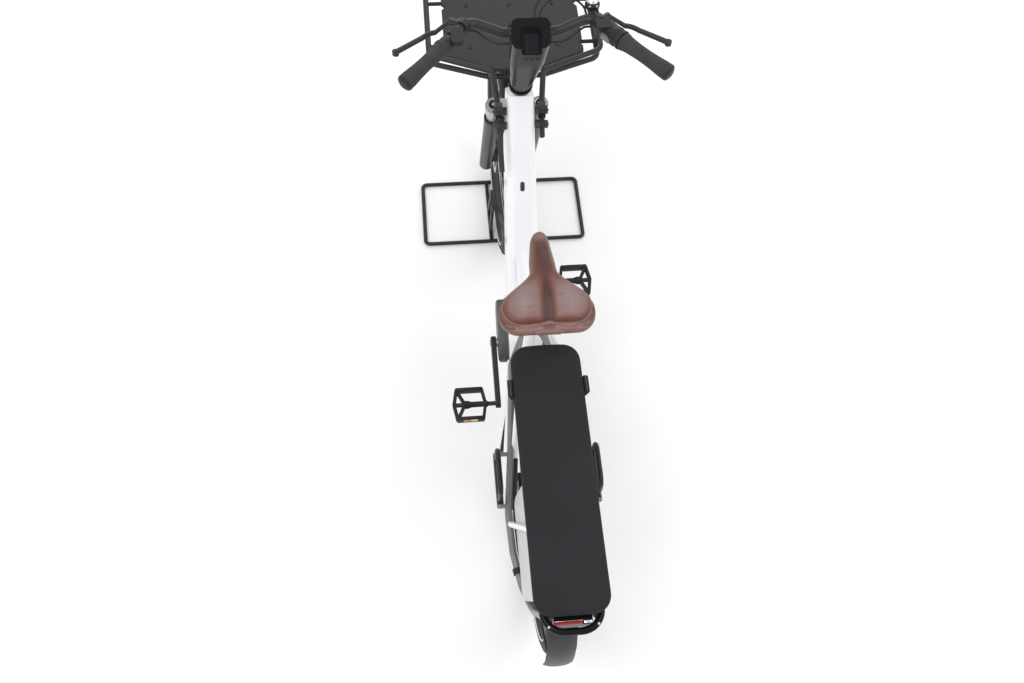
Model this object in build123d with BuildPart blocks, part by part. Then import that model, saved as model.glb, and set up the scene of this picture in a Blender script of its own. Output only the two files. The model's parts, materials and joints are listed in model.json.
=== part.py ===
from build123d import *
import os
from math import cos, radians, sin, sqrt, tan

# Electric bicycle with a front tray, a long rear seat pad and a wire display
# stand under the front wheel. Millimetres. +Y is forward, +X is the rider's
# right, +Z is up. The ground is z = 0 and the origin is under the middle.

# Wheels, 26 inch
wheelbase = 1145.0
wheel_r = 340.0
tyre_width = 60.0
tyre_height = 56.0
bead_depth = 3.5
foot_r = wheel_r - tyre_height
bead_r = foot_r - bead_depth
rim_lip = 3.0
rim_width = 36.0
rim_depth = 20.0
hub_flange_r = 27.0
front_flange_x = 24.0
rear_flange_x = 32.0
hub_shell_r = 18.0
spoke_count = 32
spoke_r = 0.9
spoke_gap = 0.3
rear_hub_shell_r = 46.0
rear_hub_flange_r = 52.0

# Rear fender
fender_gap = 19.0
fender_wall = 3.0
fender_width = 66.0
fender_front_angle = -8.0
fender_rear_angle = 192.0

# Origin: the length runs from the loop behind the seat pad to the front tyre
fender_outer_r = wheel_r + fender_gap + fender_wall
pad_length = 588.0
pad_front_ahead = 238.0
rack_rear_behind = pad_length - pad_front_ahead - 12
end_loop_behind = rack_rear_behind + 36
end_loop_r = 9.0
length_behind = end_loop_behind + end_loop_r
length_ahead = wheelbase + wheel_r
rear_y = -(length_ahead - length_behind) / 2
front_y = rear_y + wheelbase

# Steering
head_angle = 69.0
fork_offset = 60.0
head_tube_low = 474.0
head_tube_length = 106.0
spacer_r = 29.0
spacer_height = 12.0
head_tube_r = 27.0
head_bore_r = 17.5
race_r = 27.0
leg_spread = 59.0
stanchion_r = 16.0
lower_r = 20.0
crown_height = 34.0
swing_clear = 6.0
stanchion_top = 452.0
cap_r = 12.0
cap_height = 6.0
seal_height = 12.0
crown_wall = 5.0
arch_up = 346.0
arch_depth = 18.0
lower_top = 362.0
front_dropout_x = 50.0
front_dropout_wall = 12.0

# Bottom bracket, drive unit and cranks
bb_ahead = 503.0
bb_z = 278.0
crank_length = 170.0
crank_angle = 8.6
pedal_x = 157.0
pedal_length = 96.0
pedal_width = 92.0
pedal_height = 20.0
hollow_r = 130.0
hollow_depth = 5.0
pedal_axle_r = 6.0
arm_x = 82.0
arm_thick = 14.0
bb_axle_r = 12.0
motor_half_width = 48.0
motor_cover_x = 70.0
motor_r = 58.0
motor_nose_r = 46.0
motor_nose_ahead = 66.0
motor_nose_up = 34.0
bracket_wall = 8.0
pin_gap = 0.3

# Belt drive
drive_x = 62.0
belt_width = 10.0
belt_wall = 4.0
belt_gap = 0.3
front_pulley_r = 66.0
rear_pulley_r = 38.0

# Frame tubes
down_tube_width = 86.0
down_tube_depth = 98.0
down_tube_round = 22.0
down_low_ahead = 566.0
down_low_z = 330.0
down_head_up = 540.0
seat_tube_r = 18.0
seat_low_ahead = 474.0
seat_low_z = 335.0
seat_angle = 70.0
seat_tube_top_z = 694.0
post_r = 15.0
brace_r = 20.0
brace_down_share = 0.66
brace_seat_z = 520.0
post_depth = 150.0
cross_r = 5.0
fender_tab_front = 170.0
fender_tab_rear = -150.0
bridge_ahead = 402.0
bridge_z = 293.0
stay_r = 9.0
strut_r = 8.0
rear_strut_r = 7.0
strut_bend_behind = 84.0
strut_top_behind = 169.0
dropout_x = 80.0
dropout_wall = 6.0
axle_r = 6.0

# Rear rack, pad and side rails
rack_rail_r = 10.0
rack_rail_x = 48.0
rack_z = 695.0
rack_front_ahead = 318.0
rack_spread_ahead = 200.0
pad_width = 152.0
pad_thick = 38.0
pad_corner = 34.0
side_rail_r = 8.0
side_rail_z = 500.0
side_rail_half = 96.0
panel_wall = 2.5
panel_low_z = 518.0
conduit_r = 5.0
cable_r = 2.5

# Saddle
saddle_top_z = 900.0
saddle_half = 98.0
saddle_nose_ahead = 137.0
saddle_waist_ahead = 20.0
saddle_wide_ahead = -48.0
saddle_thick = 58.0
nose_half = 21.0
waist_half = 34.0
wing_r = 40.0
saddle_rail_r = 3.5

# Handlebar
bar_r = 11.1
bar_clamp_r = 15.9
bar_clamp_up = 860.0
grip_r = 16.5
grip_length = 122.0
lever_r = 5.5
stem_low_r = 25.0
stem_waist_up = 768.0
stem_waist_width = 78.0
stem_waist_depth = 56.0
stem_top_up = 884.0
stem_top_width = 84.0
stem_top_depth = 62.0
stem_set_back = 8.0
display_slope = 38.0
display_width = 44.0
display_length = 58.0
hose_r = 2.5

# Front rack and tray
tray_z = 820.0
tray_thick = 10.0
tray_half = 174.0
tray_notches = (-90.0, 48.0, 186.0)
tray_bar_r = 5.0
tray_bar_z = tray_z - tray_thick - tray_bar_r - 0.3
tray_bolt_x = 120.0
tray_bolt_y = 200.0
tray_bolt_ahead = 55.0
tray_bolt_r = 3.2
tray_front_ahead = 247.0
rail_r = 7.0
front_rail_z = 842.0
front_low_rail_z = 790.0
low_rail_ahead = -168.0
rack_clamp_ahead = -287.0
rack_clamp_z = 796.0
tray_bars = (-75.0, 75.0, 215.0)
front_rail_half = 213.0
front_rail_centre_half = 62.0
front_rail_centre_ahead = -201.0
front_rail_corner_ahead = -139.0
front_rail_end_ahead = 259.0

# Brakes
rotor_r = 90.0
rotor_wall = 1.9
disc_mount_r = 22.0
disc_bore_r = 11.0
pulley_seat_r = 16.0
rear_rotor_x = -62.0
front_rotor_x = -33.0

# Footrests and centre stand
footrest_ahead = 22.0
footrest_z = 500.0
footrest_x = 112.0
footrest_length = 100.0
footrest_reach = 72.0
footrest_bar_r = 6.0
footrest_pin_r = 4.0
footrest_barrel_r = 8.0
stand_ahead = 424.0
stand_z = 215.0
stand_leg_r = 9.0
stand_pin_r = 5.0
stand_foot_x = 78.0
stand_half = 44.0

# Display stand
display_rod_r = 6.0
display_half = 251.0
display_front_ahead = 110.0
display_rear_ahead = -123.0
slot_half = 43.0
hoop_height = 210.0

os.makedirs("parts", exist_ok=True)

head_cos = cos(radians(head_angle))
head_sin = sin(radians(head_angle))
axis_foot_y = front_y - fork_offset * head_sin
axis_foot_z = wheel_r - fork_offset * head_cos


def steer_point(x, forward, up):
    """A point beside the steering axis: forward of it and up along it."""
    y = axis_foot_y + forward * head_sin - up * head_cos
    z = axis_foot_z + forward * head_cos + up * head_sin
    return Vector(x, y, z)


def steer_plane(up, forward=0.0, x=0.0):
    """Plane across the steering axis, its local X to the right."""
    return Plane(origin=steer_point(x, forward, up), x_dir=(1, 0, 0),
                 z_dir=(0, -head_cos, head_sin))


def side_plane(x, y, z):
    """Upright plane through an axle, seen from the right: local X is forward."""
    return Plane(origin=(x, y, z), x_dir=(0, 1, 0), z_dir=(1, 0, 0))


def tube_between(start, end, radius, mode=Mode.ADD):
    """Round bar between two points, made in the current part."""
    line = Vector(end) - Vector(start)
    with BuildSketch(Plane(origin=start, z_dir=line)) as section:
        Circle(radius)
    extrude(section.sketch, amount=line.length, mode=mode)


def bent_tube(points, radii, radius):
    """Round bar along straight runs and bends, made in the current part."""
    with BuildLine() as path:
        FilletPolyline(*points, radius=radii)
    with BuildSketch(Plane(origin=path.line @ 0, z_dir=path.line % 0)) as section:
        Circle(radius)
    sweep(section.sketch, path=path.line)


def mirrored(points):
    """The same points on the other side of the bicycle."""
    return [(-x, y, z) for x, y, z in points]


def finish(piece, label):
    """Label a finished piece and write it."""
    piece.part.label = label
    export_step(piece.part, f"parts/{label}.step")


# Down tube end and directions
down_top = steer_point(0, 0, down_head_up)
down_low = Vector(0, rear_y + down_low_ahead, down_low_z)
down_line = down_top - down_low
bb_y = rear_y + bb_ahead
seat_slope = 1 / tan(radians(seat_angle))


def seat_y(z):
    """Forward place of the seat tube's middle at height z."""
    return rear_y + seat_low_ahead - (z - seat_low_z) * seat_slope


# Frame: head tube, down tube, seat tube, brace and the drive unit's bracket
head_top = head_tube_low + head_tube_length
head_plane = steer_plane(head_tube_low)
motor_nose = (motor_nose_ahead, motor_nose_up)
with BuildPart() as frame:
    with BuildSketch(Plane(origin=down_low, x_dir=(1, 0, 0), z_dir=down_line)):
        RectangleRounded(down_tube_width, down_tube_depth, down_tube_round)
    extrude(amount=down_line.length)
    with BuildSketch(steer_plane(head_top)):
        Rectangle(down_tube_width * 2, down_tube_depth * 3)
    extrude(amount=down_tube_depth, mode=Mode.SUBTRACT)
    with BuildSketch(head_plane):
        Circle(leg_spread + stanchion_r + crown_wall + swing_clear)
    extrude(amount=-down_tube_depth, mode=Mode.SUBTRACT)
    with BuildSketch(head_plane):
        Circle(head_tube_r)
    extrude(amount=head_tube_length)
    seat_low = Vector(0, rear_y + seat_low_ahead, seat_low_z)
    seat_top = Vector(0, seat_y(seat_tube_top_z), seat_tube_top_z)
    tube_between(seat_low, seat_top, seat_tube_r)
    brace_low = down_low + down_line * (1 - brace_down_share)
    tube_between(brace_low, (0, seat_y(brace_seat_z), brace_seat_z), brace_r)
    with BuildSketch(side_plane(0, bb_y, bb_z)) as bracket:
        Circle(motor_r + bracket_wall)
        with Locations(motor_nose):
            Circle(motor_nose_r + bracket_wall)
        make_hull()
    extrude(amount=motor_half_width - 4, both=True)
    with BuildSketch(side_plane(0, bb_y, bb_z)) as socket:
        Circle(motor_r + pin_gap)
        with Locations(motor_nose):
            Circle(motor_nose_r + pin_gap)
        make_hull()
    extrude(amount=motor_half_width, both=True, mode=Mode.SUBTRACT)
    with BuildSketch(side_plane(0, bb_y, bb_z)):
        with Locations((motor_nose_ahead / 2, -motor_r)):
            Rectangle(motor_r * 5, motor_r * 2)
    extrude(amount=motor_half_width, both=True, mode=Mode.SUBTRACT)
    with BuildSketch(head_plane):
        Circle(head_bore_r)
    extrude(amount=head_tube_length, mode=Mode.SUBTRACT)
    collar = Plane(origin=seat_top, x_dir=(1, 0, 0), z_dir=seat_low - seat_top)
    with BuildSketch(collar):
        Circle(seat_tube_r + 4)
        with Locations((0, seat_tube_r + 6)):
            Rectangle(20, 16)
    extrude(amount=20)
    with BuildSketch(Plane(origin=seat_top, z_dir=seat_low - seat_top)):
        Circle(post_r + pin_gap)
    extrude(amount=post_depth, mode=Mode.SUBTRACT)
finish(frame, "frame")

# Drive unit and its two side covers
with BuildPart() as drive_unit:
    with BuildSketch(side_plane(0, bb_y, bb_z)) as motor_side:
        Circle(motor_r)
        with Locations(motor_nose):
            Circle(motor_nose_r)
        make_hull()
    extrude(amount=motor_half_width, both=True)
    fillet(drive_unit.edges().filter_by(GeomType.CIRCLE), 4)
    with BuildSketch(side_plane(0, bb_y, bb_z)):
        Circle(bb_axle_r + pin_gap)
    extrude(amount=motor_cover_x, both=True, mode=Mode.SUBTRACT)
finish(drive_unit, "drive_unit")

for label, near, far in (("motor_cover_left", -motor_half_width, -motor_cover_x),
                         ("motor_cover_right", motor_half_width, motor_half_width + 3)):
    with BuildPart() as cover:
        with BuildSketch(side_plane(near, bb_y, bb_z)):
            Circle(motor_r - 4)
            with Locations(motor_nose):
                Circle(motor_nose_r - 4)
            make_hull()
        extrude(amount=far - near)
        if far < 0:
            fillet(cover.faces().sort_by(Axis.X)[0].edges(), 8)
        with BuildSketch(side_plane(near, bb_y, bb_z)):
            Circle(bb_axle_r + pin_gap)
        extrude(amount=far - near, mode=Mode.SUBTRACT)
    finish(cover, label)

# Rear frame: stays, struts, dropouts, axle, hinge lugs and the rack's rails
with BuildPart() as rear_frame:
    for side in (-1, 1):
        stay = [(side * 40, rear_y + 436, 290), (side * dropout_x, rear_y + 120, 322),
                (side * dropout_x, rear_y + 26, wheel_r - 4)]
        bent_tube(stay, 60, stay_r)
        with BuildSketch(side_plane(side * dropout_x, rear_y, wheel_r)) as dropout:
            Circle(20)
            with Locations((26, -4), (12, 28), (-12, 28)):
                Circle(10)
            make_hull()
        extrude(amount=dropout_wall / 2, both=True)
        tube_between((side * dropout_x, rear_y + 12, wheel_r + 26),
                     (side * rack_rail_x, rear_y + 232, rack_z), strut_r)
        strut = [(side * dropout_x, rear_y - 12, wheel_r + 26),
                 (side * (side_rail_half - 2), rear_y - strut_bend_behind, side_rail_z),
                 (side * (rack_rail_x + 4), rear_y - strut_top_behind, rack_z - 5)]
        bent_tube(strut, 40, rear_strut_r)
        rail = [(side * 15, seat_y(rack_z - 22) - 4, rack_z - 22),
                (side * rack_rail_x, rear_y + rack_spread_ahead, rack_z),
                (side * rack_rail_x, rear_y - rack_rear_behind, rack_z)]
        bent_tube(rail, 80, rack_rail_r)
    for ahead in (fender_tab_front, fender_tab_rear, -310):
        tube_between((-rack_rail_x, rear_y + ahead, rack_z),
                     (rack_rail_x, rear_y + ahead, rack_z), cross_r)
    tube_between((-dropout_x, rear_y, wheel_r), (dropout_x, rear_y, wheel_r), axle_r)
    tube_between((-46, rear_y + bridge_ahead, bridge_z), (46, rear_y + bridge_ahead, bridge_z), stay_r)
    stand_pin_y = rear_y + stand_ahead
    tube_between((-stand_half - 7, stand_pin_y, stand_z), (stand_half + 7, stand_pin_y, stand_z), stand_pin_r)
    for side in (-1, 1):
        near = side * (stand_half + pin_gap)
        with BuildSketch(side_plane(near, stand_pin_y, stand_z)) as lug:
            Circle(10)
            with Locations((8, 76)):
                Circle(9)
            make_hull()
        extrude(lug.sketch, amount=side * 5)
        tube_between((side * (stand_half + 7), stand_pin_y + 8, stand_z + 76),
                     (side * 38, stand_pin_y + 8, stand_z + 76), 7)
    tube_between(seat_low, seat_top, seat_tube_r, mode=Mode.SUBTRACT)
    add(frame.part, mode=Mode.SUBTRACT)
finish(rear_frame, "rear_frame")

# Seat post, saddle rails and saddle
post_low_z = seat_tube_top_z - post_depth * sin(radians(seat_angle)) + 1
clamp_z = saddle_top_z - saddle_thick - 22
with BuildPart() as seat_post:
    tube_between((0, seat_y(post_low_z), post_low_z), (0, seat_y(clamp_z), clamp_z), post_r)
    with BuildSketch(side_plane(0, seat_y(clamp_z), clamp_z)) as head:
        Rectangle(46, 24)
    extrude(amount=17, both=True)
finish(seat_post, "seat_post")

saddle_low_z = saddle_top_z - saddle_thick
saddle_y = seat_y(clamp_z)
rail_top_z = saddle_low_z + saddle_rail_r + 1
with BuildPart() as saddle_rails:
    for side in (-1, 1):
        rod = [(side * 10, saddle_y + saddle_nose_ahead - 38, rail_top_z),
               (side * 21, saddle_y + 42, clamp_z), (side * 21, saddle_y - 40, clamp_z),
               (side * 44, saddle_y + saddle_wide_ahead - 24, rail_top_z)]
        bent_tube(rod, 18, saddle_rail_r)
    tube_between((-10, saddle_y + saddle_nose_ahead - 41, saddle_low_z + 2),
                 (10, saddle_y + saddle_nose_ahead - 41, saddle_low_z + 2), saddle_rail_r)
    add(seat_post.part, mode=Mode.SUBTRACT)
with BuildPart() as saddle:
    with BuildSketch(Plane.XY.offset(saddle_low_z)):
        with Locations((0, saddle_y + saddle_nose_ahead - nose_half)):
            Circle(nose_half)
        with Locations((0, saddle_y + saddle_waist_ahead)):
            Circle(waist_half)
        make_hull()
    extrude(amount=saddle_thick)
    with BuildSketch(Plane.XY.offset(saddle_low_z)):
        with Locations((0, saddle_y + saddle_waist_ahead)):
            Circle(waist_half)
        with Locations((wing_r - saddle_half, saddle_y + saddle_wide_ahead),
                       (saddle_half - wing_r, saddle_y + saddle_wide_ahead)):
            Circle(wing_r)
        make_hull()
    extrude(amount=saddle_thick)
    fillet(saddle.faces().sort_by(Axis.Z)[-1].edges(), 16)
    add(saddle_rails.part, mode=Mode.SUBTRACT)
finish(saddle_rails, "saddle_rails")
finish(saddle, "saddle")

# Rear seat pad on the rack
pad_low = rack_z + rack_rail_r + pin_gap
pad_y = rear_y + pad_front_ahead - pad_length / 2
with BuildPart() as seat_pad:
    with BuildSketch(Plane.XY.offset(pad_low)):
        with Locations((0, pad_y)):
            RectangleRounded(pad_width, pad_length, pad_corner)
    extrude(amount=pad_thick)
    fillet(seat_pad.faces().sort_by(Axis.Z)[-1].edges(), 10)
finish(seat_pad, "seat_pad")

# Black loop at the rack's end, with the tail light in it
loop_y = rear_y - rack_rear_behind
with BuildPart() as rack_end_loop:
    end = [(-rack_rail_x, loop_y, rack_z), (-rack_rail_x, rear_y - end_loop_behind, rack_z),
           (rack_rail_x, rear_y - end_loop_behind, rack_z), (rack_rail_x, loop_y, rack_z)]
    bent_tube(end, 20, end_loop_r)
finish(rack_end_loop, "rack_end_loop")
with BuildPart() as tail_light:
    with BuildSketch(Plane.XY.offset(rack_z - 18)):
        with Locations((0, rear_y - 352)):
            RectangleRounded(2 * (rack_rail_x - end_loop_r - pin_gap), 22, 8)
    extrude(amount=22)
finish(tail_light, "tail_light")

# Side rails round the rear wheel, with the footrests' pins, and a guard panel inside each
rail_line = ((16, 408, side_rail_z + 15), (57, 318, side_rail_z + 2), (78, 95, side_rail_z),
             (side_rail_half, -60, side_rail_z), (side_rail_half - 3, -150, side_rail_z),
             (80, -225, side_rail_z), (60, -282, side_rail_z + 2), (49, -rack_rear_behind - 6, rack_z - 7))
rail_flare = (side_rail_half - rail_line[2][0]) / (rail_line[2][1] - rail_line[3][1])


def rail_x(ahead):
    """Sideways place of the straight stretch of the side rail beside the axle."""
    return side_rail_half - (ahead - rail_line[3][1]) * rail_flare


with BuildPart() as side_rails:
    for side in (-1, 1):
        rail = [(side * x, rear_y + ahead, z) for x, ahead, z in rail_line]
        bent_tube(rail, (40, 90, 90, 90, 90, 40), side_rail_r)
        pin_x = side * footrest_x
        pin_half = footrest_length / 2 + 16
        pin_y = rear_y + footrest_ahead
        tube_between((pin_x, pin_y - pin_half, footrest_z),
                     (pin_x, pin_y + pin_half, footrest_z), footrest_pin_r)
        for end in (-1, 1):
            ear_ahead = footrest_ahead + end * (pin_half - 3)
            ear_mid = (pin_x, rear_y + ear_ahead, footrest_z)
            with BuildSketch(Plane(origin=ear_mid, x_dir=(1, 0, 0), z_dir=(0, -1, 0))) as ear:
                Circle(footrest_barrel_r)
                with Locations((side * (rail_x(ear_ahead) + 2 - footrest_x), 0)):
                    Circle(side_rail_r - 2)
                make_hull()
            extrude(ear.sketch, amount=2.5, both=True)
    add(frame.part, mode=Mode.SUBTRACT)
    add(rear_frame.part, mode=Mode.SUBTRACT)
    add(rack_end_loop.part, mode=Mode.SUBTRACT)
finish(side_rails, "side_rails")

panel_top = Vector(rack_rail_x - 4, 0, rack_z - rack_rail_r + 1)
panel_foot = Vector(side_rail_half - 15, 0, panel_low_z)
panel_fall = (panel_foot - panel_top).length
with BuildPart() as side_panels:
    for side in (-1, 1):
        lean = Vector(side * (panel_foot.X - panel_top.X), 0, panel_foot.Z - panel_top.Z)
        top = Vector(side * panel_top.X, rear_y, panel_top.Z)
        outwards = lean.cross(Vector(0, -side, 0))
        fall = side * panel_fall
        with BuildSketch(Plane(origin=top, x_dir=(0, 1, 0), z_dir=outwards)) as panel:
            with BuildLine():
                FilletPolyline((-20, 0), (-rack_rear_behind + 24, 0), (-262, fall), (-34, fall),
                               radius=24, close=True)
            make_face()
        extrude(panel.sketch, amount=panel_wall / 2, both=True)
    add(rear_frame.part, mode=Mode.SUBTRACT)
finish(side_panels, "side_panels")

# Cable along the left side rail to the tail light, its front part in a ribbed conduit
conduit_in = side_rail_r + conduit_r + pin_gap
cable_line = ((rail_x(-46) - conduit_in, -46, 0), (83, -84, 0), (81, -150, 0), (69, -222, 0),
              (49, -280, 8), (40, -322, 150), (32, -340.7, 184))
with BuildPart() as rail_cable:
    tube_between((conduit_in - rail_x(72), rear_y + 72, side_rail_z),
                 (conduit_in - rail_x(-50), rear_y - 50, side_rail_z), conduit_r)
    bent_tube([(-x, rear_y + ahead, side_rail_z + up) for x, ahead, up in cable_line], (80, 80, 60, 40, 12),
              cable_r)
    clip = (-87, rear_y - 186, side_rail_z)
    tube_between(clip, Vector(*clip) + Vector(2, -13, 0), side_rail_r + 3)
    add(side_rails.part, mode=Mode.SUBTRACT)
    add(tail_light.part, mode=Mode.SUBTRACT)
finish(rail_cable, "rail_cable")

# Rear fender, a thin arched shell with wire stays
def radial_plane(y, angle):
    """Plane through an axle whose local Y points outwards at an angle from +Y."""
    turn = radians(angle)
    return Plane(origin=(0, y, wheel_r), x_dir=(1, 0, 0), z_dir=(0, -sin(turn), cos(turn)))


axle_line = {"rear": Axis((0, rear_y, wheel_r), (1, 0, 0)),
             "front": Axis((0, front_y, wheel_r), (1, 0, 0))}
fender_half = fender_width / 2
with BuildPart() as rear_fender:
    with BuildSketch(radial_plane(rear_y, fender_front_angle)) as shell:
        with BuildLine():
            ThreePointArc((-fender_half, fender_outer_r - 14), (0, fender_outer_r),
                          (fender_half, fender_outer_r - 14))
            Line((fender_half, fender_outer_r - 14), (fender_half - 2, fender_outer_r - 16))
            ThreePointArc((fender_half - 2, fender_outer_r - 16), (0, fender_outer_r - fender_wall),
                          (2 - fender_half, fender_outer_r - 16))
            Line((2 - fender_half, fender_outer_r - 16), (-fender_half, fender_outer_r - 14))
        make_face()
    revolve(axis=axle_line["rear"], revolution_arc=fender_rear_angle - fender_front_angle)
    turn = radians(168)
    for side in (-1, 1):
        tube_between((side * 33, rear_y + 349 * cos(turn), wheel_r + 349 * sin(turn)),
                     (side * 61, rear_y - 74, wheel_r + 116), 2.5)
    for ahead in (fender_tab_front, fender_tab_rear):
        crown_z = wheel_r + sqrt(fender_outer_r ** 2 - ahead ** 2)
        tube_between((0, rear_y + ahead, crown_z - 1), (0, rear_y + ahead, rack_z - cross_r - pin_gap), 6)
    tube_between((0, rear_y + fender_outer_r - 7, bridge_z),
                 (0, rear_y + bridge_ahead - stay_r - pin_gap, bridge_z), 6)
finish(rear_fender, "rear_fender")

# Belt round the two pulleys
with BuildPart() as drive_belt:
    for wall, mode in ((belt_wall, Mode.ADD), (0, Mode.SUBTRACT)):
        with BuildSketch(side_plane(drive_x, bb_y, bb_z)) as belt_side:
            Circle(front_pulley_r + belt_gap + wall)
            with Locations((-bb_ahead, wheel_r - bb_z)):
                Circle(rear_pulley_r + belt_gap + wall)
            make_hull()
        extrude(amount=belt_width / 2, both=True, mode=mode)
finish(drive_belt, "drive_belt")

# Wheels: tyre, rim, spokes and hub of each, made by the same functions
def make_tyre(y, axis, label):
    """Tyre with a round crown, closed by the rim below."""
    crown_r = tyre_width / 2
    foot = rim_width / 2 - rim_lip
    with BuildPart() as tyre:
        with BuildSketch(radial_plane(y, 90)) as section:
            with BuildLine():
                ThreePointArc((-crown_r, wheel_r - crown_r), (0, wheel_r), (crown_r, wheel_r - crown_r))
                TangentArc((crown_r, wheel_r - crown_r), (foot, foot_r), tangent=(0, -1))
                Polyline((foot, foot_r), (foot, bead_r), (-foot, bead_r), (-foot, foot_r))
                TangentArc((-crown_r, wheel_r - crown_r), (-foot, foot_r), tangent=(0, -1))
            make_face()
        revolve(axis=axis)
    finish(tyre, label)


def make_rim(y, axis, label):
    """Deep rim whose flanges hold the tyre's foot."""
    half = rim_width / 2
    foot = half - rim_lip
    with BuildPart() as rim:
        with BuildSketch(radial_plane(y, 90)) as section:
            with BuildLine():
                Polyline((-half, foot_r), (-foot - pin_gap, foot_r), (-foot - pin_gap, bead_r - pin_gap),
                         (foot + pin_gap, bead_r - pin_gap), (foot + pin_gap, foot_r), (half, foot_r),
                         (half, foot_r - 10), (half / 2, bead_r - rim_depth),
                         (-half / 2, bead_r - rim_depth), (-half, foot_r - 10), close=True)
            make_face()
        revolve(axis=axis)
    finish(rim, label)


def make_spokes(y, axis, flange_x, flange_r, label):
    """Thin crossed spokes, a hair clear of the hub and of the rim."""
    rim_end = bead_r - rim_depth - spoke_gap
    with BuildPart() as spokes:
        for index in range(spoke_count):
            side = 1 if index % 2 else -1
            lean = 1 if index % 4 > 1 else -1
            at_rim = radians(360 * index / spoke_count)
            at_hub = at_rim + lean * radians(55)
            hub_end = flange_r + spoke_gap + spoke_r
            offset = side * (flange_x + lean * 1.6)
            tube_between((offset, y + hub_end * cos(at_hub), wheel_r + hub_end * sin(at_hub)),
                         (side * 4, y + rim_end * cos(at_rim), wheel_r + rim_end * sin(at_rim)), spoke_r)
    finish(spokes, label)


def make_hub(y, axis, flange_x, flange_r, shell_r, half, disc_x, seat_x, label):
    """Hub shell with two flanges and a disc mount, bored for its axle."""
    with BuildPart() as hub:
        with BuildSketch(Plane(origin=(0, y, wheel_r), x_dir=(1, 0, 0), z_dir=(0, -1, 0))):
            with BuildLine():
                Polyline((-half, bore_r), (half, bore_r), (half, disc_bore_r), (seat_x, disc_bore_r),
                         (seat_x, pulley_seat_r), (flange_x + 3, pulley_seat_r),
                         (flange_x + 3, flange_r), (flange_x - 3, flange_r), (flange_x - 3, shell_r),
                         (3 - flange_x, shell_r), (3 - flange_x, flange_r), (-flange_x - 3, flange_r),
                         (-flange_x - 3, disc_mount_r), (disc_x + rotor_wall / 2, disc_mount_r),
                         (disc_x + rotor_wall / 2, disc_bore_r), (-half, disc_bore_r), close=True)
            make_face()
        revolve(axis=axis)
    finish(hub, label)


def make_rotor(y, disc_x, label):
    """Brake disc: a ring on six arms."""
    with BuildPart() as rotor:
        with BuildSketch(side_plane(disc_x, y, wheel_r)):
            Circle(rotor_r)
            Circle(rotor_r - 15, mode=Mode.SUBTRACT)
            Circle(disc_mount_r + 4)
            with PolarLocations((rotor_r - 15 + disc_mount_r) / 2 + 2, 6):
                Rectangle(rotor_r - 15 - disc_mount_r, 8)
            Circle(disc_bore_r + pin_gap, mode=Mode.SUBTRACT)
        extrude(amount=rotor_wall / 2, both=True)
    finish(rotor, label)


bore_r = axle_r + pin_gap
rear_hub_half = dropout_x - dropout_wall / 2 - pin_gap
front_hub_half = front_dropout_x - pin_gap
for name, y in (("front", front_y), ("rear", rear_y)):
    make_tyre(y, axle_line[name], f"{name}_tyre")
    make_rim(y, axle_line[name], f"{name}_rim")
make_spokes(front_y, axle_line["front"], front_flange_x, hub_flange_r, "front_spokes")
make_hub(front_y, axle_line["front"], front_flange_x, hub_flange_r, hub_shell_r,
         front_hub_half, front_rotor_x, front_flange_x + 8, "front_hub")
make_rotor(front_y, front_rotor_x, "front_rotor")
make_spokes(rear_y, axle_line["rear"], rear_flange_x, rear_hub_flange_r, "rear_spokes")
make_hub(rear_y, axle_line["rear"], rear_flange_x, rear_hub_flange_r, rear_hub_shell_r,
         rear_hub_half, rear_rotor_x, drive_x + belt_width / 2, "rear_hub")
make_rotor(rear_y, rear_rotor_x, "rear_rotor")

# Pulleys: one on the rear hub, one on the right crank
with BuildPart() as rear_pulley:
    with BuildSketch(side_plane(drive_x, rear_y, wheel_r)):
        Circle(rear_pulley_r)
        Circle(pulley_seat_r + pin_gap, mode=Mode.SUBTRACT)
    extrude(amount=belt_width / 2, both=True)
finish(rear_pulley, "rear_pulley")

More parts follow.
